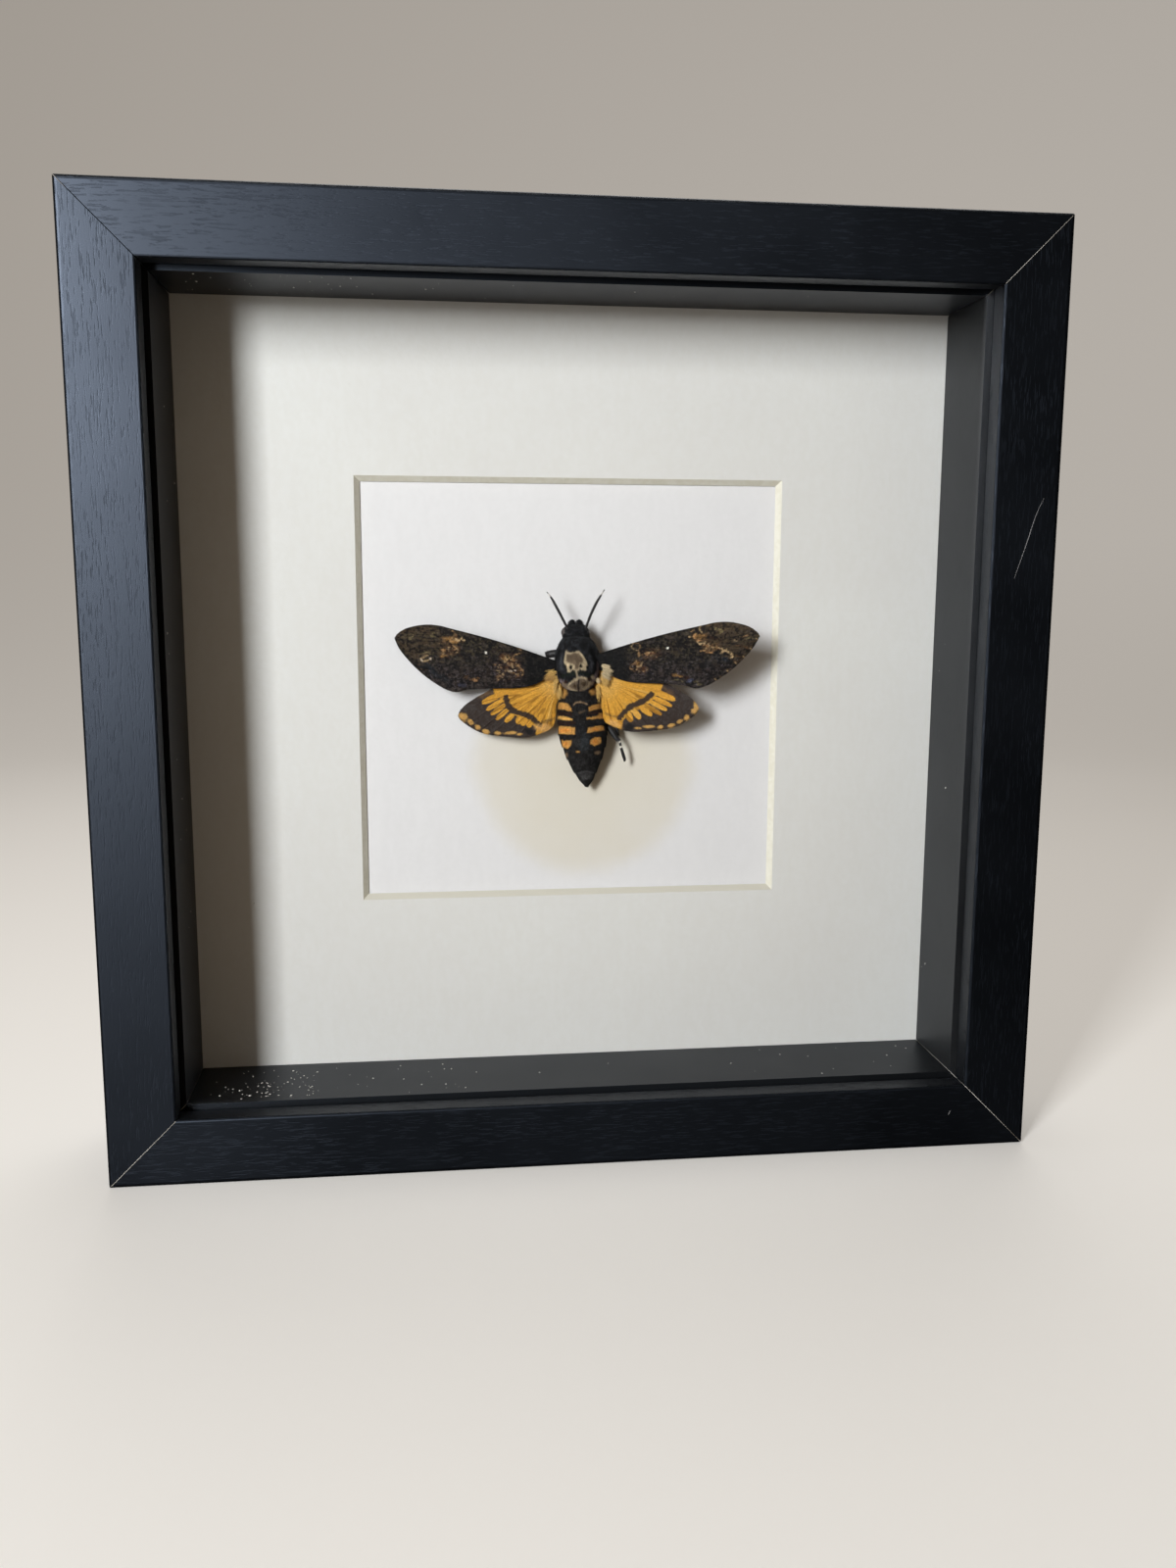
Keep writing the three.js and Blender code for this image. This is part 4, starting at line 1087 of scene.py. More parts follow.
def head_marks(x, y, seed):
    paint = Paint(x, y, FUR_BLACK, seed)
    paint.cloud(0.6, 20.8, 2.2, 0.8, FUR_GREY, 0.25, flecks=0.6)
    paint.line([(-3.1, 16.0), (-1.6, 16.5), (0.6, 16.6), (2.2, 16.4), (3.9, 16.0)], 0.4, FUR_GREY, 0.55)
    paint.line([(-1.6, 19.4), (0.4, 18.4), (2.8, 19.4)], 0.3, FUR_GREY, 0.35)
    for place in ((-1.4, 16.0, 1.1, 0.7), (2.6, 16.4, 1.1, 0.6)):
        paint.cloud(*place, FUR_GREEN * 2.2, 0.7, flecks=0.4)
    paint.web(1.0, FUR_GREY, 0.5)
    paint.colour *= (1 + 0.35 * layered_noise(x / 0.7, y / 0.9, seed + 3))[:, None]
    return paint.colour


# The thorax's marks, on the body's plane: the skull and its jaws, the collars, and the covers
# over the wing roots
SKULL = [(-2.3, 13.0), (-1.7, 12.6), (-1.0, 12.4), (0.4, 12.7), (1.2, 12.9), (2.0, 12.3), (2.6, 11.4),
         (3.4, 10.0), (3.7, 9.0), (3.7, 8.2), (3.2, 7.5), (2.3, 7.6), (1.6, 8.0), (1.0, 7.4), (0.2, 7.4),
         (-0.4, 7.8), (-0.9, 7.1), (-1.8, 7.0), (-1.8, 7.9), (-2.1, 8.7), (-2.6, 9.5), (-2.8, 10.4),
         (-2.5, 11.6)]
CROWN_OUTLINE = [(-2.0, 12.1), (-0.8, 12.1), (0.2, 12.3), (1.3, 12.1), (2.0, 11.3), (2.6, 10.3), (2.3, 9.8),
                 (1.5, 9.6), (1.3, 8.7), (1.0, 7.8), (0.4, 7.7), (0.2, 8.7), (-0.5, 9.2), (-1.2, 9.5),
                 (-1.9, 9.6), (-2.1, 10.4)]
SKULL_HOLES = [(-0.9, 8.4, 0.42, 0.6), (1.8, 8.7, 0.44, 0.48), (3.5, 8.45, 0.3, 0.5)]
LEFT_JAW = [(-1.7, 3.1), (-1.2, 4.1), (-0.2, 4.9), (0.8, 5.5), (1.0, 3.6), (0.9, 2.1), (-0.4, 2.1)]
RIGHT_JAW = [(1.5, 5.7), (3.2, 5.5), (4.2, 4.6), (3.8, 3.2), (2.6, 2.5), (1.4, 2.2)]
# Each line of the jaws: points, width, share of bone white
JAW_LINES = [
    ([(-1.4, 3.9), (-0.2, 4.8), (1.0, 5.5)], 0.6, 1.0),
    ([(1.2, 5.6), (2.3, 5.7), (3.5, 5.2)], 0.55, 0.9),
    ([(-1.7, 3.2), (-0.5, 2.5), (0.6, 2.1)], 0.45, 0.7),
    ([(4.4, 4.5), (3.9, 3.3), (2.6, 2.6)], 0.55, 0.8),
    ([(0.6, 7.6), (0.7, 6.4), (1.0, 5.4)], 0.5, 0.8),
]
LEFT_COLLAR = [(-5.0, 8.3), (-5.0, 6.0), (-4.3, 5.0), (-3.1, 4.4), (-2.5, 3.6), (-1.6, 3.0), (-0.4, 2.3)]
RIGHT_COLLAR = [(6.6, 9.6), (6.5, 7.7), (6.0, 6.3), (5.3, 5.1), (5.0, 4.3), (4.3, 3.7), (3.3, 3.0),
                (2.0, 2.2)]
LEFT_TEGULA = [(-4.0, 13.0), (-4.6, 11.4), (-5.2, 9.9), (-4.6, 7.7), (-3.3, 6.2)]
RIGHT_TEGULA = [(4.6, 13.2), (5.3, 11.4), (5.9, 9.2), (5.5, 7.1), (4.6, 6.2)]
TEGULA_EDGES = [[(-5.3, 12.0), (-5.9, 10.0), (-5.6, 8.0)], [(-3.3, 12.0), (-3.7, 9.8), (-3.2, 7.8)],
                [(6.1, 11.6), (6.7, 9.4), (6.6, 7.8)], [(4.3, 11.4), (4.8, 9.4), (4.5, 7.8)]]


def thorax_marks(x, y, seed):
    paint = Paint(x, y, FUR_BLACK, seed)
    paint.web(1.1, FUR_GREY * 0.9, 0.5)
    paint.lay(smooth_step(0.1, 0.7, paint.roughness(1.6)) * 0.5, FUR_GREY * 0.8)
    paint.line([(-3.4, 16.2), (0.6, 16.9), (4.2, 16.2)], 0.5, FUR_GREY, 0.5, flecks=0.4)
    for collar in (LEFT_COLLAR, RIGHT_COLLAR):
        paint.line(smooth_line(collar, 24).tolist(), 0.85, FUR_MAUVE, 0.95, 0.25)
        paint.line(smooth_line(collar, 24).tolist()[14:], 0.75, FUR_TAN, 0.9, 0.25)
    for points in TEGULA_EDGES:
        paint.line(points, 0.7, FUR_GREY * 1.2, 0.7, 0.3, flecks=0.3)
    for tegula in (LEFT_TEGULA, RIGHT_TEGULA):
        paint.line(smooth_line(tegula, 16).tolist(), 0.8, INK * 0.5, 0.95, 0.3)
    paint.line([(-3.1, 6.1), (-1.8, 6.5), (-0.4, 6.7), (2.3, 6.8), (3.7, 6.4)], 1.0, FUR_GREEN, 0.95, 0.2)
    paint.area(SKULL, BONE, 0.95, 0.14, 0.16)
    paint.area(CROWN_OUTLINE, CROWN, 0.95, 0.2, 0.25)
    paint.cloud(0.0, 11.4, 1.6, 0.6, CROWN * 0.7, 0.6, 0, 0.6, flecks=0.4)
    paint.cloud(1.2, 10.4, 0.8, 0.7, CROWN * 0.75, 0.6, 0, 0.6, flecks=0.4)
    for jaw in (LEFT_JAW, RIGHT_JAW):
        paint.area(jaw, FUR_TAN * 0.7, 0.95, 0.2, 0.3, 0.3)
    for points, width, share in JAW_LINES:
        paint.line(points, width, BONE * share, 0.9, 0.2)
    paint.line([(1.2, 5.0), (1.2, 2.1)], 0.3, BAND, 0.8)
    paint.cloud(0.2, 3.4, 0.6, 0.5, BROWN * 0.5, 0.8)
    paint.cloud(2.5, 4.0, 0.7, 0.5, BROWN * 0.5, 0.7)
    for place in ((-2.1, 4.5), (4.1, 5.2)):
        paint.cloud(*place, 0.6, 0.42, MAROON * 1.4, 0.9)
    paint.cloud(5.1, 5.6, 0.5, 0.5, BONE * 0.95, 0.9)
    for x0, y0, wide, high in SKULL_HOLES:
        paint.cloud(x0, y0, wide, high, INK * 0.3, 1.0, ragged=0.15, edge=0.25)
    paint.colour *= (1 + 0.3 * layered_noise(x / 0.6, y / 0.8, seed + 3))[:, None]
    return paint.colour


# The abdomen's marks, on the body's plane: bars as [outline, colour], then stripes between them
BARS = [
    ([(-5.4, -1.4), (-3.3, -1.3), (-1.7, -1.8), (-0.8, -3.0), (-0.6, -3.9), (-3.0, -3.4), (-5.4, -3.1)],
     SPOT_YELLOW),
    ([(4.0, -2.9), (5.1, -2.3), (6.7, -1.8), (9.4, -1.7), (9.4, -3.1), (6.6, -3.3), (4.1, -3.9)],
     SPOT_YELLOW * 0.85),
    ([(-5.4, -5.0), (-2.4, -5.3), (-0.5, -5.9), (-0.4, -6.4), (-2.6, -6.3), (-5.4, -5.9)], PALE_YELLOW),
    ([(3.6, -5.6), (6.4, -5.4), (7.0, -4.5), (9.4, -4.6), (9.4, -5.9), (6.0, -6.0), (3.6, -6.1)],
     SPOT_YELLOW),
    ([(-4.3, -8.0), (-2.0, -8.1), (0.2, -8.4), (0.3, -10.3), (-2.0, -10.3), (-4.3, -10.1)],
     SPOT_YELLOW * 1.1),
    ([(4.0, -8.6), (5.6, -8.2), (8.2, -7.9), (8.6, -9.2), (6.0, -9.5), (3.5, -10.0)], SPOT_YELLOW),
    ([(-3.5, -11.9), (-2.0, -12.1), (-0.7, -12.0), (-0.8, -13.4), (-1.8, -14.4), (-3.2, -13.8)],
     SPOT_YELLOW * 1.1),
    ([(4.6, -11.9), (6.0, -11.2), (7.5, -11.3), (7.6, -12.7), (5.7, -13.8), (4.6, -13.0)], SPOT_YELLOW),
]
BAR_CENTRES = [(-2.6, -9.2, 1.3, 0.55), (6.0, -8.9, 0.9, 0.5), (-2.3, -12.9, 0.7, 0.7),
               (6.0, -12.5, 0.8, 0.6)]
STRIPES = [[(-5.4, -4.2), (-3.0, -4.3), (-0.8, -4.8)], [(4.2, -4.6), (6.6, -4.2), (9.4, -3.9)],
           [(-5.4, -7.1), (0.0, -7.2)]]


def abdomen_marks(x, y, seed):
    paint = Paint(x, y, FUR_BLACK * 0.8, seed)
    paint.web(0.9, FUR_GREY * 0.8, 0.35)
    paint.lay(smooth_step(0.1, 0.7, paint.roughness(1.2)) * 0.3, FUR_GREY * 0.7)
    for stripe in STRIPES:
        paint.line(stripe, 0.75, MAROON * 1.1, 0.8, 0.2)
    for outline, colour in BARS:
        paint.area(outline, colour, 0.97, 0.14, 0.16)
    for place in BAR_CENTRES:
        paint.cloud(*place, ORANGE, 0.85, flecks=0.2)
    for place in ((-3.1, 1.1, 1.0, 1.3), (5.4, 1.6, 1.1, 1.0)):
        paint.cloud(*place, SPOT_YELLOW, 0.9, flecks=0.2)
    paint.line([(-0.2, -2.2), (0.4, -1.5), (1.6, -1.3), (2.8, -1.5), (3.6, -1.9)], 0.4, FUR_TAN, 0.85)
    paint.line([(1.5, -4.4), (2.2, -4.0), (2.9, -3.8)], 0.5, FUR_TAN * 0.7, 0.7, flecks=0.5)
    paint.cloud(1.8, -9.6, 1.5, 2.0, FUR_BLUE, 0.35, flecks=0.3)
    paint.cloud(3.0, -12.6, 1.5, 2.0, FUR_STEEL, 0.6, -10, flecks=0.45)
    paint.cloud(0.6, -12.6, 1.0, 1.0, FUR_GREY, 0.45, flecks=0.5)
    paint.line([(1.6, -14.9), (3.6, -14.4), (5.2, -14.6)], 0.35, FUR_STEEL, 0.6, flecks=0.4)
    paint.cloud(1.1, -15.2, 0.5, 0.22, SPOT_YELLOW * 0.7, 0.9)
    for place in ((-2.1, -16.2, 0.55, 0.7), (6.6, -15.6, 0.7, 0.5)):
        paint.cloud(*place, FUR_TAN, 0.75, flecks=0.4)
    paint.line([(1.4, -21.2), (3.4, -20.8), (5.4, -21.2)], 0.5, FUR_GREY, 0.8)
    paint.cloud(3.4, -22.2, 1.7, 0.9, FUR_GREY * 1.2, 0.75, flecks=0.4)
    paint.colour *= ABDOMEN_WARMTH
    paint.colour *= (1 + 0.25 * layered_noise(x / 0.5, y / 0.7, seed + 3))[:, None]
    return paint.colour


# Each part: its form, marks and seed, rows and columns of its skin, and number, length and lift
# of its hairs
BODY_PARTS = {
    "thorax": (Body(THORAX, 0.2), thorax_marks, 51, (150, 96), (24000, 0.9, 0.34)),
    "head": (Body(HEAD, 0.25), head_marks, 52, (80, 72), (9000, 0.85, 0.35)),
    "abdomen": (Body(ABDOMEN, 0.3, True), abdomen_marks, 53, (320, 96), (26000, 0.6, 0.16)),
}


def make_body():
    fur = painted_material("body_fur", 0.85, 3000.0, 0.0001, 0.2, 0.04, 0.14)
    rng = np.random.default_rng(5)
    for name, (body, marks, seed, grid, hairs) in BODY_PARTS.items():
        form = Form()
        body.add_skin(form, marks, seed, *grid)
        body.add_fur(form, marks, seed, *hairs, rng)
        if name == "head":
            add_palps(form, rng)
        slot = "abdomen_fur" if name == "abdomen" else "body_fur"
        form.finish(name + "_fur", fur, slot, "moth_" + name)


def add_ball(form, centre, radii, rows, columns, colour):
    """A round form with its poles to the front and the back, which gives its places and normals."""
    tilt = np.linspace(0.02, math.pi - 0.02, rows)[:, None]
    turn = np.linspace(0, 2 * math.pi, columns, endpoint=False)
    across, up = np.sin(tilt) * np.cos(turn), np.sin(tilt) * np.sin(turn)
    normals = np.stack([across, np.cos(tilt) + 0 * turn, up], -1)
    places = np.array(centre) + normals * radii
    # Painted light and shade: lighter on the side facing out from the card, darker on the side towards it.
    shade = 0.6 + 0.6 * np.clip(normals[..., 2:3], 0, 1)
    form.add(places, capped_faces(rows, columns), (colour * shade).reshape(-1, 3))
    return places.reshape(-1, 3), normals.reshape(-1, 3)


PALPS = [(-0.4, 20, 6), (1.6, 20, 6)]
PALP_HAIRS = 1300


def add_palps(form, rng):
    """Two furry bumps in front of the head."""
    for centre in PALPS:
        places, normals = add_ball(form, centre, (1.05, 1.05, 1.25), 16, 24, FUR_BLACK)
        pick = rng.integers(0, len(places), PALP_HAIRS)
        roots, out = places[pick], normals[pick]
        along = out * 0.4 + [0, 0.7, 0.1] + rng.normal(0, 0.2, (PALP_HAIRS, 3))
        paint = FUR_BLACK * rng.uniform(0.8, 1.6, (PALP_HAIRS, 1))
        add_hairs(form, roots, along, out, 0.5 * rng.uniform(0.5, 1.1, PALP_HAIRS), 0.08, 0.12, paint)


EYES = {"eye_left": (-2.2, 18, 6), "eye_right": (3.3, 18, 6)}
EYE_REACH = (1.25, 1.4, 1.6)
EYE_BROWN = srgb(78, 71, 69)


def make_eyes():
    material = painted_material("eye", 0.5, 9000.0, 0.00003, 0.25, 0.0, 0.35)
    for name, centre in EYES.items():
        form = Form()
        add_ball(form, centre, EYE_REACH, 20, 30, EYE_BROWN)
        form.finish(name, material, "limb_shell")


# Limbs as [x, y, height, radius]
ANTENNAE = {
    "antenna_left": [
        (-1.4, 18.4, 7.6, 0.42), (-2.4, 20.2, 8, 0.4), (-3.9, 23, 8.3, 0.42), (-5.3, 25.6, 8.4, 0.42),
        (-6.5, 27.7, 8.2, 0.28), (-7.6, 29.1, 7.8, 0.12),
    ],
    "antenna_right": [
        (3, 18.4, 7.6, 0.42), (3.6, 20.4, 8.2, 0.4), (4.6, 23.2, 8.8, 0.42), (5.9, 26, 9.2, 0.42),
        (7.3, 28.4, 9.4, 0.28), (8.2, 29.8, 9.3, 0.12),
    ],
}
LEGS = {
    "hindleg_right": [
        (7.4, -6.2, 3.6, 0.9), (10.4, -9, 4.2, 0.95), (12.2, -11.6, 4.8, 0.8), (13.2, -12.7, 4.9, 0.42),
        (13.8, -14.6, 4.7, 0.42), (14.6, -17, 4.2, 0.5), (15, -18.3, 3.8, 0.4), (14.6, -18.9, 3.5, 0.16),
    ],
    "midleg_right": [
        (8.4, -3.6, 2.4, 0.6), (11.2, -6.6, 2.7, 0.6), (12.6, -9, 3, 0.55), (13, -11, 3.1, 0.45),
    ],
    "foreleg_left": [
        (-3.4, 12.3, 5.4, 1.1), (-5.2, 12.1, 5, 1.2), (-6.5, 11.9, 4.8, 1.2), (-7.3, 11.8, 4.7, 0.8),
    ],
}
ANTENNA_ROD = 0.85  # the bare rod's share of an antenna's radius
ANTENNA_STEPS = 150
ANTENNA_RIBS = 34
ANTENNA_HAIRS = 900
LEG_STEPS = 90
LEG_HAIRS = 2600
LEG_BLACK = srgb(30, 28, 29)
BARE_SHIN = -12.4  # the hindleg has no hairs below this y
ANTENNA_BROWN = srgb(34, 29, 31)
PALE_TIP = srgb(206, 200, 196)
LEG_RINGS = [(-12.8, 0.28), (-14.3, 0.25), (-18.9, 0.22)]  # y and half length of each white ring


def bristle_roots(line, pick, reach, rng):
    """Roots all round the picked places of a limb, with the way along and the way out at each."""
    turn = rng.uniform(0, 2 * math.pi, len(pick))[:, None]
    forward = unit(np.gradient(line[:, :3], axis=0))[pick]
    across = unit(np.cross(forward, UP))
    out = across * np.cos(turn) + np.cross(across, forward) * np.sin(turn)
    return line[pick, :3] + out * line[pick, 3:4] * reach, forward, out


def make_antennae(material):
    for name, points in ANTENNAE.items():
        line = smooth_line(points, ANTENNA_STEPS)
        share = np.linspace(0, 1, ANTENNA_STEPS)
        ribs = 1 + 0.09 * np.sin(share * 2 * math.pi * ANTENNA_RIBS)
        tip = (smooth_step(0.84, 0.88, share) * smooth_step(0.97, 0.93, share))[:, None]
        colours = ANTENNA_BROWN * (1 - tip) + PALE_TIP * tip
        form = Form()
        add_tube(form, line[:, :3], line[:, 3] * ANTENNA_ROD * ribs, colours, 12)
        rng = np.random.default_rng(61)
        pick = rng.integers(4, 130, ANTENNA_HAIRS)
        roots, forward, out = bristle_roots(line, pick, ANTENNA_ROD * 0.95, rng)
        add_hairs(form, roots, forward + out * 0.4, out, 0.22, 0.05, 0.06, colours[pick] * 0.9)
        form.finish(name + "_rod", material, "limb_shell", name)


def make_legs(material):
    rng = np.random.default_rng(67)
    for name, points in LEGS.items():
        line = smooth_line(points, LEG_STEPS)
        colours = np.tile(LEG_BLACK, (LEG_STEPS, 1))
        hairy = np.ones(LEG_STEPS, bool)
        if name == "hindleg_right":
            for y, half in LEG_RINGS:
                ring = smooth_step(half + 0.12, half - 0.05, np.abs(line[:, 1] - y))[:, None]
                colours = colours * (1 - ring) + CHALK * ring
            hairy = line[:, 1] > BARE_SHIN
        form = Form()
        add_tube(form, line[:, :3], line[:, 3] * np.where(hairy, 0.88, 0.95), colours, 16)
        pick = rng.choice(np.nonzero(hairy)[0], LEG_HAIRS)
        roots, forward, out = bristle_roots(line, pick, 0.7, rng)
        paint = colours[pick] * rng.uniform(0.7, 1.7, (LEG_HAIRS, 1))
        along = forward + rng.normal(0, 0.25, (LEG_HAIRS, 3))
        add_hairs(form, roots, along, out, 0.75 * rng.uniform(0.5, 1.1, LEG_HAIRS), 0.08, 0.15, paint)
        form.finish(name + "_limb", material, "limb_shell", name)


# Long pale hairs at the wing roots: place, height, half spread, direction, length, number, colour
TUFTS = [
    ((-5.7, 7.2), 8.4, (0.8, 0.6), (-0.9, -0.1), 2.0, 200, PALE_YELLOW),
    ((-6.2, 6.1), 8.2, (0.9, 0.6), (-0.8, -0.5), 1.8, 220, SPOT_YELLOW),
    ((-4.9, 4.4), 7.8, (0.4, 1.5), (-0.25, -0.95), 2.2, 300, PALE_YELLOW),
    ((-4.0, 1.9), 7.6, (0.4, 1.2), (-0.1, -1.0), 1.9, 240, PALE_YELLOW),
    ((7.9, 9.0), 10.6, (0.5, 0.3), (0.9, -0.3), 1.9, 170, CREAM),
    ((8.3, 7.9), 10.4, (0.6, 0.4), (0.95, -0.3), 2.2, 220, CREAM * 0.9),
    ((8.1, 6.7), 10.1, (0.6, 0.5), (0.8, -0.6), 2.2, 240, CREAM * 0.85),
    ((8.2, 5.4), 9.6, (0.6, 0.8), (0.4, -0.9), 2.2, 260, PALE_YELLOW),
    ((6.4, 5.2), 9.9, (0.35, 0.35), (0.2, -1.0), 1.2, 110, CREAM),
    ((6.7, 1.9), 8.0, (0.4, 1.2), (0.2, -1.0), 1.9, 240, PALE_YELLOW),
]


def make_tufts():
    material = painted_material("tuft_hair", 0.6, 4000.0, 0.00002, 0.15, 0.1, 0.3)
    rng = np.random.default_rng(71)
    form = Form()
    for (x, y), h, (wide, high), (dx, dy), length, count, colour in TUFTS:
        spots = rng.normal(0, 0.6, (count, 3)) * [wide, high, 0.35]
        roots = spots + [x, y, h]
        along = np.array([dx, dy, -0.08]) + rng.normal(0, 0.16, (count, 3)) * [1, 1, 0.5]
        sizes = length * rng.uniform(0.5, 1.0, count)
        paint = colour * rng.uniform(0.6, 1.15, (count, 1))
        add_hairs(form, roots, along, UP, sizes, 0.1, 0.12, paint)
    form.finish("wing_root_tufts", material, "hindwing_scales")


# The frame

def dress_frame():
    rail_x = foil_material("frame_foil_across", 0, 0.0012, 0.43, 1.0, 0.42)
    rail_z = foil_material("frame_foil_upright", 2, 0.0012, 0.43, 1.0, 0.42)
    # The upright spacers are about three times as light in tone as the across ones. This is painted light,
    # for the right spacer, which faces the window.
    spacer_x = foil_material("spacer_foil_across", 0, 0.004, 0.42, 0.25, 0.42)
    spacer_z_painted_light = foil_material("spacer_foil_upright_painted_light", 2, 0.0125, 0.42, 0.25, 0.38)
    finishes = {
        "rail_top": rail_x, "rail_bottom": rail_x, "rail_left": rail_z, "rail_right": rail_z,
        "spacer_top": spacer_x, "spacer_bottom": spacer_x, "spacer_left": spacer_z_painted_light, "spacer_right": spacer_z_painted_light,
        "glass_pane": glass_material(), "mat_board": mat_material(), "specimen_card": card_material(),
        "backing_board": hardboard_material(), "sawtooth_hanger": steel_material(),
        "glue_dab": glue_material(),
    }
    tab = finishes["sawtooth_hanger"]
    for name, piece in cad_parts.items():
        finish = tab if name.startswith("tab_") else finishes.get(name)
        if finish:
            piece.material_slots[0].material = finish


# Dust on the inner walls: the side, from and to along it, from and to in depth, and number
FLAKE_AREAS = [
    ("bottom", -101, -72, 9, 30, 90), ("bottom", -72, -30, 9, 30, 24), ("bottom", -30, 100, 9, 32, 16),
    ("top", -100, -60, 9, 32, 22), ("top", -60, 60, 9, 32, 14), ("left", -100, 90, 9, 32, 12),
    ("right", -90, 90, 9, 32, 5),
]
MAT_FLAKES = [(-98, 78), (-96, 62), (-101, 24), (-94, -70), (-90, -58), (-97, -96), (-60, 84), (-92, 92)]
SPACER_FACE = 105.8  # from the middle of the frame
WALLS = {"bottom": (0, -1), "top": (0, 1), "left": (-1, 0), "right": (1, 0)}
FLAKE_CORNERS = 6
FLAKE_SIZES = (0.1, 0.42)
MAT_FLAKE_SIZES = (0.12, 0.3)
DUST_GREY = srgb(232, 229, 222)


def make_dust():
    """Specks of dust and fibre on the inside of the box, where the photograph shows them."""
    material = painted_material("dust", 0.9, 6000.0, 0.00002, 0.2, 0.0, 0.2)
    rng = np.random.default_rng(83)
    form = Form()

    def flake(place, normal, size):
        ring = unit(np.cross(normal, rng.normal(0, 1, 3)))
        other = np.cross(normal, ring)
        turn = np.linspace(0, 2 * math.pi, FLAKE_CORNERS, endpoint=False)
        stretch = rng.uniform(0.25, 1.0)
        reach = size * rng.uniform(0.6, 1.1, FLAKE_CORNERS)
        points = [place + reach[i] * (ring * math.cos(turn[i]) + other * stretch * math.sin(turn[i]))
                  for i in range(FLAKE_CORNERS)]
        points += [place + normal * size * 0.5, place - normal * 0.02]
        edges = [(i, (i + 1) % FLAKE_CORNERS) for i in range(FLAKE_CORNERS)]
        sides = [[a, b, FLAKE_CORNERS] for a, b in edges]
        sides += [[b, a, FLAKE_CORNERS + 1] for a, b in edges]
        form.add(points, sides, DUST_GREY * rng.uniform(0.7, 1.2))

    for side, start, end, shallow, deep, count in FLAKE_AREAS:
        right, up = WALLS[side]
        for _ in range(count):
            at = rng.uniform(start, end)
            place = np.array([right * SPACER_FACE + abs(up) * at, up * SPACER_FACE + abs(right) * at,
                              CARD_DEPTH - rng.uniform(shallow, deep)])
            normal = np.array([-right, -up, 0.0])
            flake(place + normal * 0.05, normal, rng.uniform(*FLAKE_SIZES))
    mat_height = CARD_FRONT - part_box("mat_board")[0].y / MM
    for x, y in MAT_FLAKES:
        flake(np.array([x, y, mat_height + 0.03]), UP, rng.uniform(*MAT_FLAKE_SIZES))
    form.finish("dust_specks", material, "mat_paper")


RAW_BOARD = srgb(206, 202, 194)
# The sides of each corner, and how wide the raw board shows in its mitre
MITRES = {"bottom_left": (-1, -1, 0.16), "top_right": (1, 1, 0.1), "bottom_right": (1, -1, 0.11)}


def make_mitre_edges():
    """Raw board that shows as a pale hairline in the mitres of the rails and the spacers."""
    material = painted_material("raw_board", 0.9, 2500.0, 0.00005, 0.3, 0.0, 0.2)
    front = CARD_DEPTH  # height of the frame's front face above the card
    lines = [(107.3, 124.2, front - 5.5, front - 0.06), (106.0, 114.4, front - 33.8, front - 7.9)]
    form = Form()
    for right, up, width in MITRES.values():
        across = np.array([1.0 * up, -1.0 * right, 0.0]) / math.sqrt(2) * width / 2
        for inner, outer, low, high in lines:
            corners = []
            for reach in (inner, outer):
                for h in (low, high):
                    for side in (-1, 1):
                        corners.append(np.array([right * reach, up * reach, h]) + side * across)
            sides = [[0, 1, 3, 2], [4, 6, 7, 5], [0, 2, 6, 4], [1, 5, 7, 3], [2, 3, 7, 6], [0, 4, 5, 1]]
            form.add(corners, sides, RAW_BOARD)
    form.finish("mitre_edges", material, "hardboard")


# Each scratch: points on the front face, and width
SCRATCHES = [
    ([(113.6, 33.2), (116.4, 42.0), (118.6, 49.4), (120.6, 54.0)], 0.17),
    ([(102.6, -115.4), (103.2, -114.2)], 0.2),
]
SCRATCH_STEPS = 30
SCRATCH_GREY = srgb(126, 126, 128)


def make_scratches():
    """Pale scratches in the foil, thin as the foil's own skin."""
    material = painted_material("scratched_foil", 0.7, 3000.0, 0.00002, 0.4, 0.0, 0.3)
    form = Form()
    for points, width in SCRATCHES:
        line = smooth_line(points, SCRATCH_STEPS)
        forward = unit(np.gradient(line, axis=0))
        side = np.stack([-forward[:, 1], forward[:, 0]], -1)
        taper = np.sin(np.linspace(0.1, math.pi - 0.1, SCRATCH_STEPS))
        thin = width / 2 * (0.35 + 0.65 * taper)[:, None]
        left, right = line + side * thin, line - side * thin
        flat = np.stack([left, right], 1)
        height = np.full((SCRATCH_STEPS, 2, 1), CARD_DEPTH + 0.012)
        places = np.concatenate([flat, height], -1)
        form.add(places, grid_faces(SCRATCH_STEPS, 2), SCRATCH_GREY)
    form.finish("foil_scratches", material, "frame_foil")


# The stage, the light and the camera

FLOOR_FLAT = 0.9  # metres from the middle to where the sweep starts
FLOOR_RISE = 0.9
FLOOR_TOP = 2.0
FLOOR_DROP = 0.0002  # keeps the floor just clear of the frame's lower edge
FLOOR_STEPS = 18
FLOOR_COLUMNS = 64
FLOOR_COLOUR = rgb(214, 212, 208)
FLOOR_GLOW = rgb(226, 224, 220)


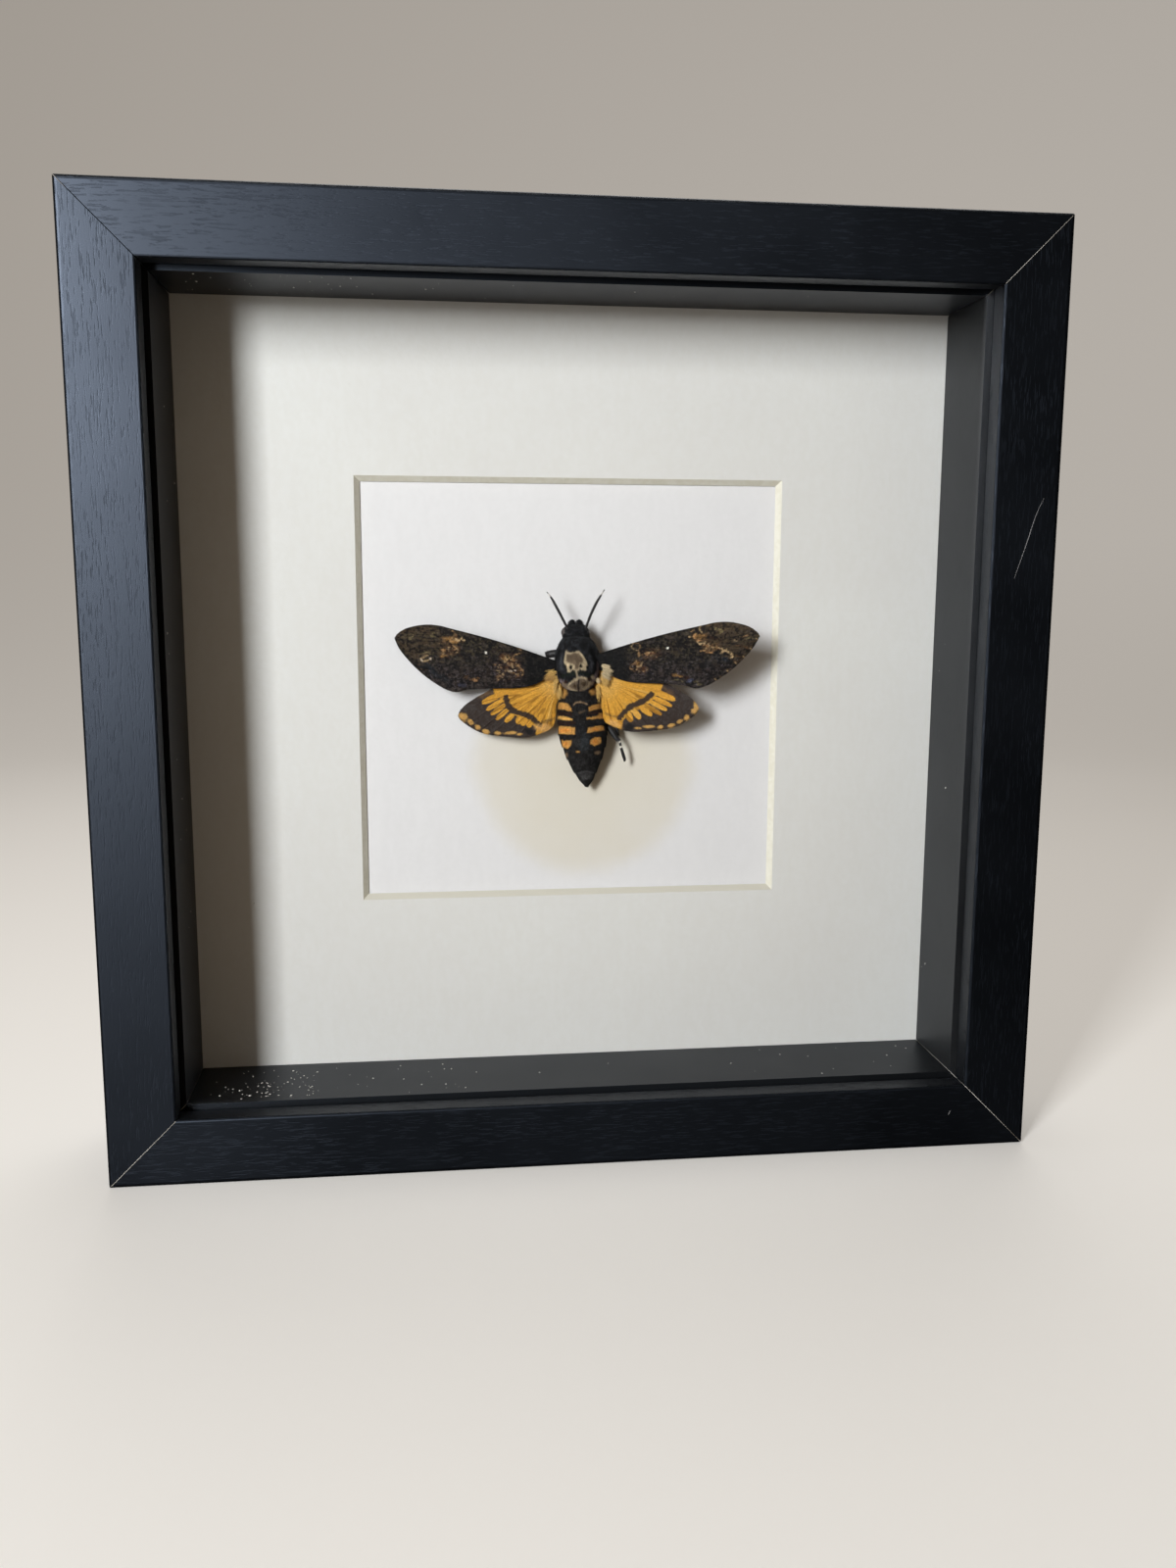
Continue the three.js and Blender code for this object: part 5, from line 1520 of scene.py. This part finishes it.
def make_stage():
    """A pale floor that sweeps up into a wall all round, far from the object."""
    profile = [(FLOOR_FLAT, 0.0)]
    profile += [(FLOOR_FLAT + FLOOR_RISE * math.sin(a), FLOOR_RISE * (1 - math.cos(a)))
                for a in np.linspace(0, math.pi / 2, FLOOR_STEPS)[1:]]
    profile.append((FLOOR_FLAT + FLOOR_RISE, FLOOR_TOP))
    turn = np.linspace(0, 2 * math.pi, FLOOR_COLUMNS, endpoint=False)
    places = [(r * math.cos(a), r * math.sin(a), z - FLOOR_DROP) for r, z in profile for a in turn]
    faces = [face[::-1] for face in grid_faces(len(profile), FLOOR_COLUMNS, closed=True)]
    faces.append(list(range(FLOOR_COLUMNS)))
    data = bpy.data.meshes.new("floor")
    data.from_pydata(places, [], faces)
    data.polygons.foreach_set("use_smooth", np.ones(len(faces), bool))
    floor = bpy.data.objects.new("floor", data)
    bpy.context.collection.objects.link(floor)
    material, tree, shader = new_material("studio_floor")
    coat(tree, shader, FLOOR_COLOUR, 0.9, 0.1)
    shader.inputs["Emission Color"].default_value = FLOOR_GLOW
    shader.inputs["Emission Strength"].default_value = 0.3
    data.materials.append(material)
    floor.visible_diffuse = False  # it lends the object no light
    floor.visible_glossy = False


def area_light(name, direction, distance, size, power, colour, beam, aim=None):
    """A rectangular lamp out from the middle of the frame, turned to the middle or to aim."""
    centre = Vector((0, 0, MIDDLE_HEIGHT * MM))
    lamp = bpy.data.lights.new(name, "AREA")
    lamp.shape = "RECTANGLE"
    lamp.size, lamp.size_y = size
    lamp.energy = power
    lamp.color = colour
    lamp.spread = math.radians(beam)
    made = bpy.data.objects.new(name, lamp)
    bpy.context.collection.objects.link(made)
    made.location = centre + direction.normalized() * distance
    facing = made.location - (Vector(aim) if aim else centre)
    made.rotation_euler = facing.to_track_quat("Z", "Y").to_euler()
    return made


def make_lights():
    area_light("window", WINDOW_DIRECTION, WINDOW_DISTANCE, WINDOW_SIZE, WINDOW_POWER, DAYLIGHT,
               WINDOW_BEAM, WINDOW_AIM)
    low = area_light("low_window", LOW_DIRECTION, WINDOW_DISTANCE, LOW_SIZE, LOW_POWER, DAYLIGHT,
                     WINDOW_BEAM)
    low.visible_glossy = False
    sheen = area_light("sky_sheen", SHEEN_DIRECTION, SHEEN_DISTANCE, SHEEN_SIZE, SHEEN_POWER, DAYLIGHT,
                       SHEEN_BEAM)
    sheen.visible_diffuse = False
    area_light("overhead_fill", FILL_DIRECTION, FILL_DISTANCE, FILL_SIZE, FILL_POWER, FILL_COLOUR,
               FILL_BEAM)
    world = bpy.data.worlds.new("studio")
    bpy.context.scene.world = world
    world.use_nodes = True
    room = world.node_tree.nodes["Background"]
    room.inputs["Color"].default_value = ROOM_COLOUR
    room.inputs["Strength"].default_value = ROOM_STRENGTH
    world.cycles_visibility.glossy = False  # dark foil mirrors the dark room behind the camera


def make_camera():
    camera = bpy.data.cameras.new("camera")
    camera.lens = CAMERA_LENS
    camera.sensor_width = 36.0
    camera.clip_start = 0.01
    made = bpy.data.objects.new("camera", camera)
    bpy.context.collection.objects.link(made)
    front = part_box("rail_top")[0].y
    made.location = (CAMERA_X * MM, front - CAMERA_DISTANCE * MM, (MIDDLE_HEIGHT + CAMERA_RISE) * MM)
    made.rotation_mode = "ZYX"
    made.rotation_euler = [math.radians(a) for a in (90 - CAMERA_PITCH, -CAMERA_YAW, -CAMERA_ROLL)]
    bpy.context.scene.camera = made


make_camera()
make_stage()
make_lights()
bpy.context.scene.view_settings.view_transform = "Standard"
dress_frame()
make_mitre_edges()
make_scratches()
make_dust()
make_wings()
make_body()
make_eyes()
shell = painted_material("limb_shell", 0.5, 5000.0, 0.00005, 0.25, 0.1, 0.4)
make_antennae(shell)
make_legs(shell)
make_tufts()
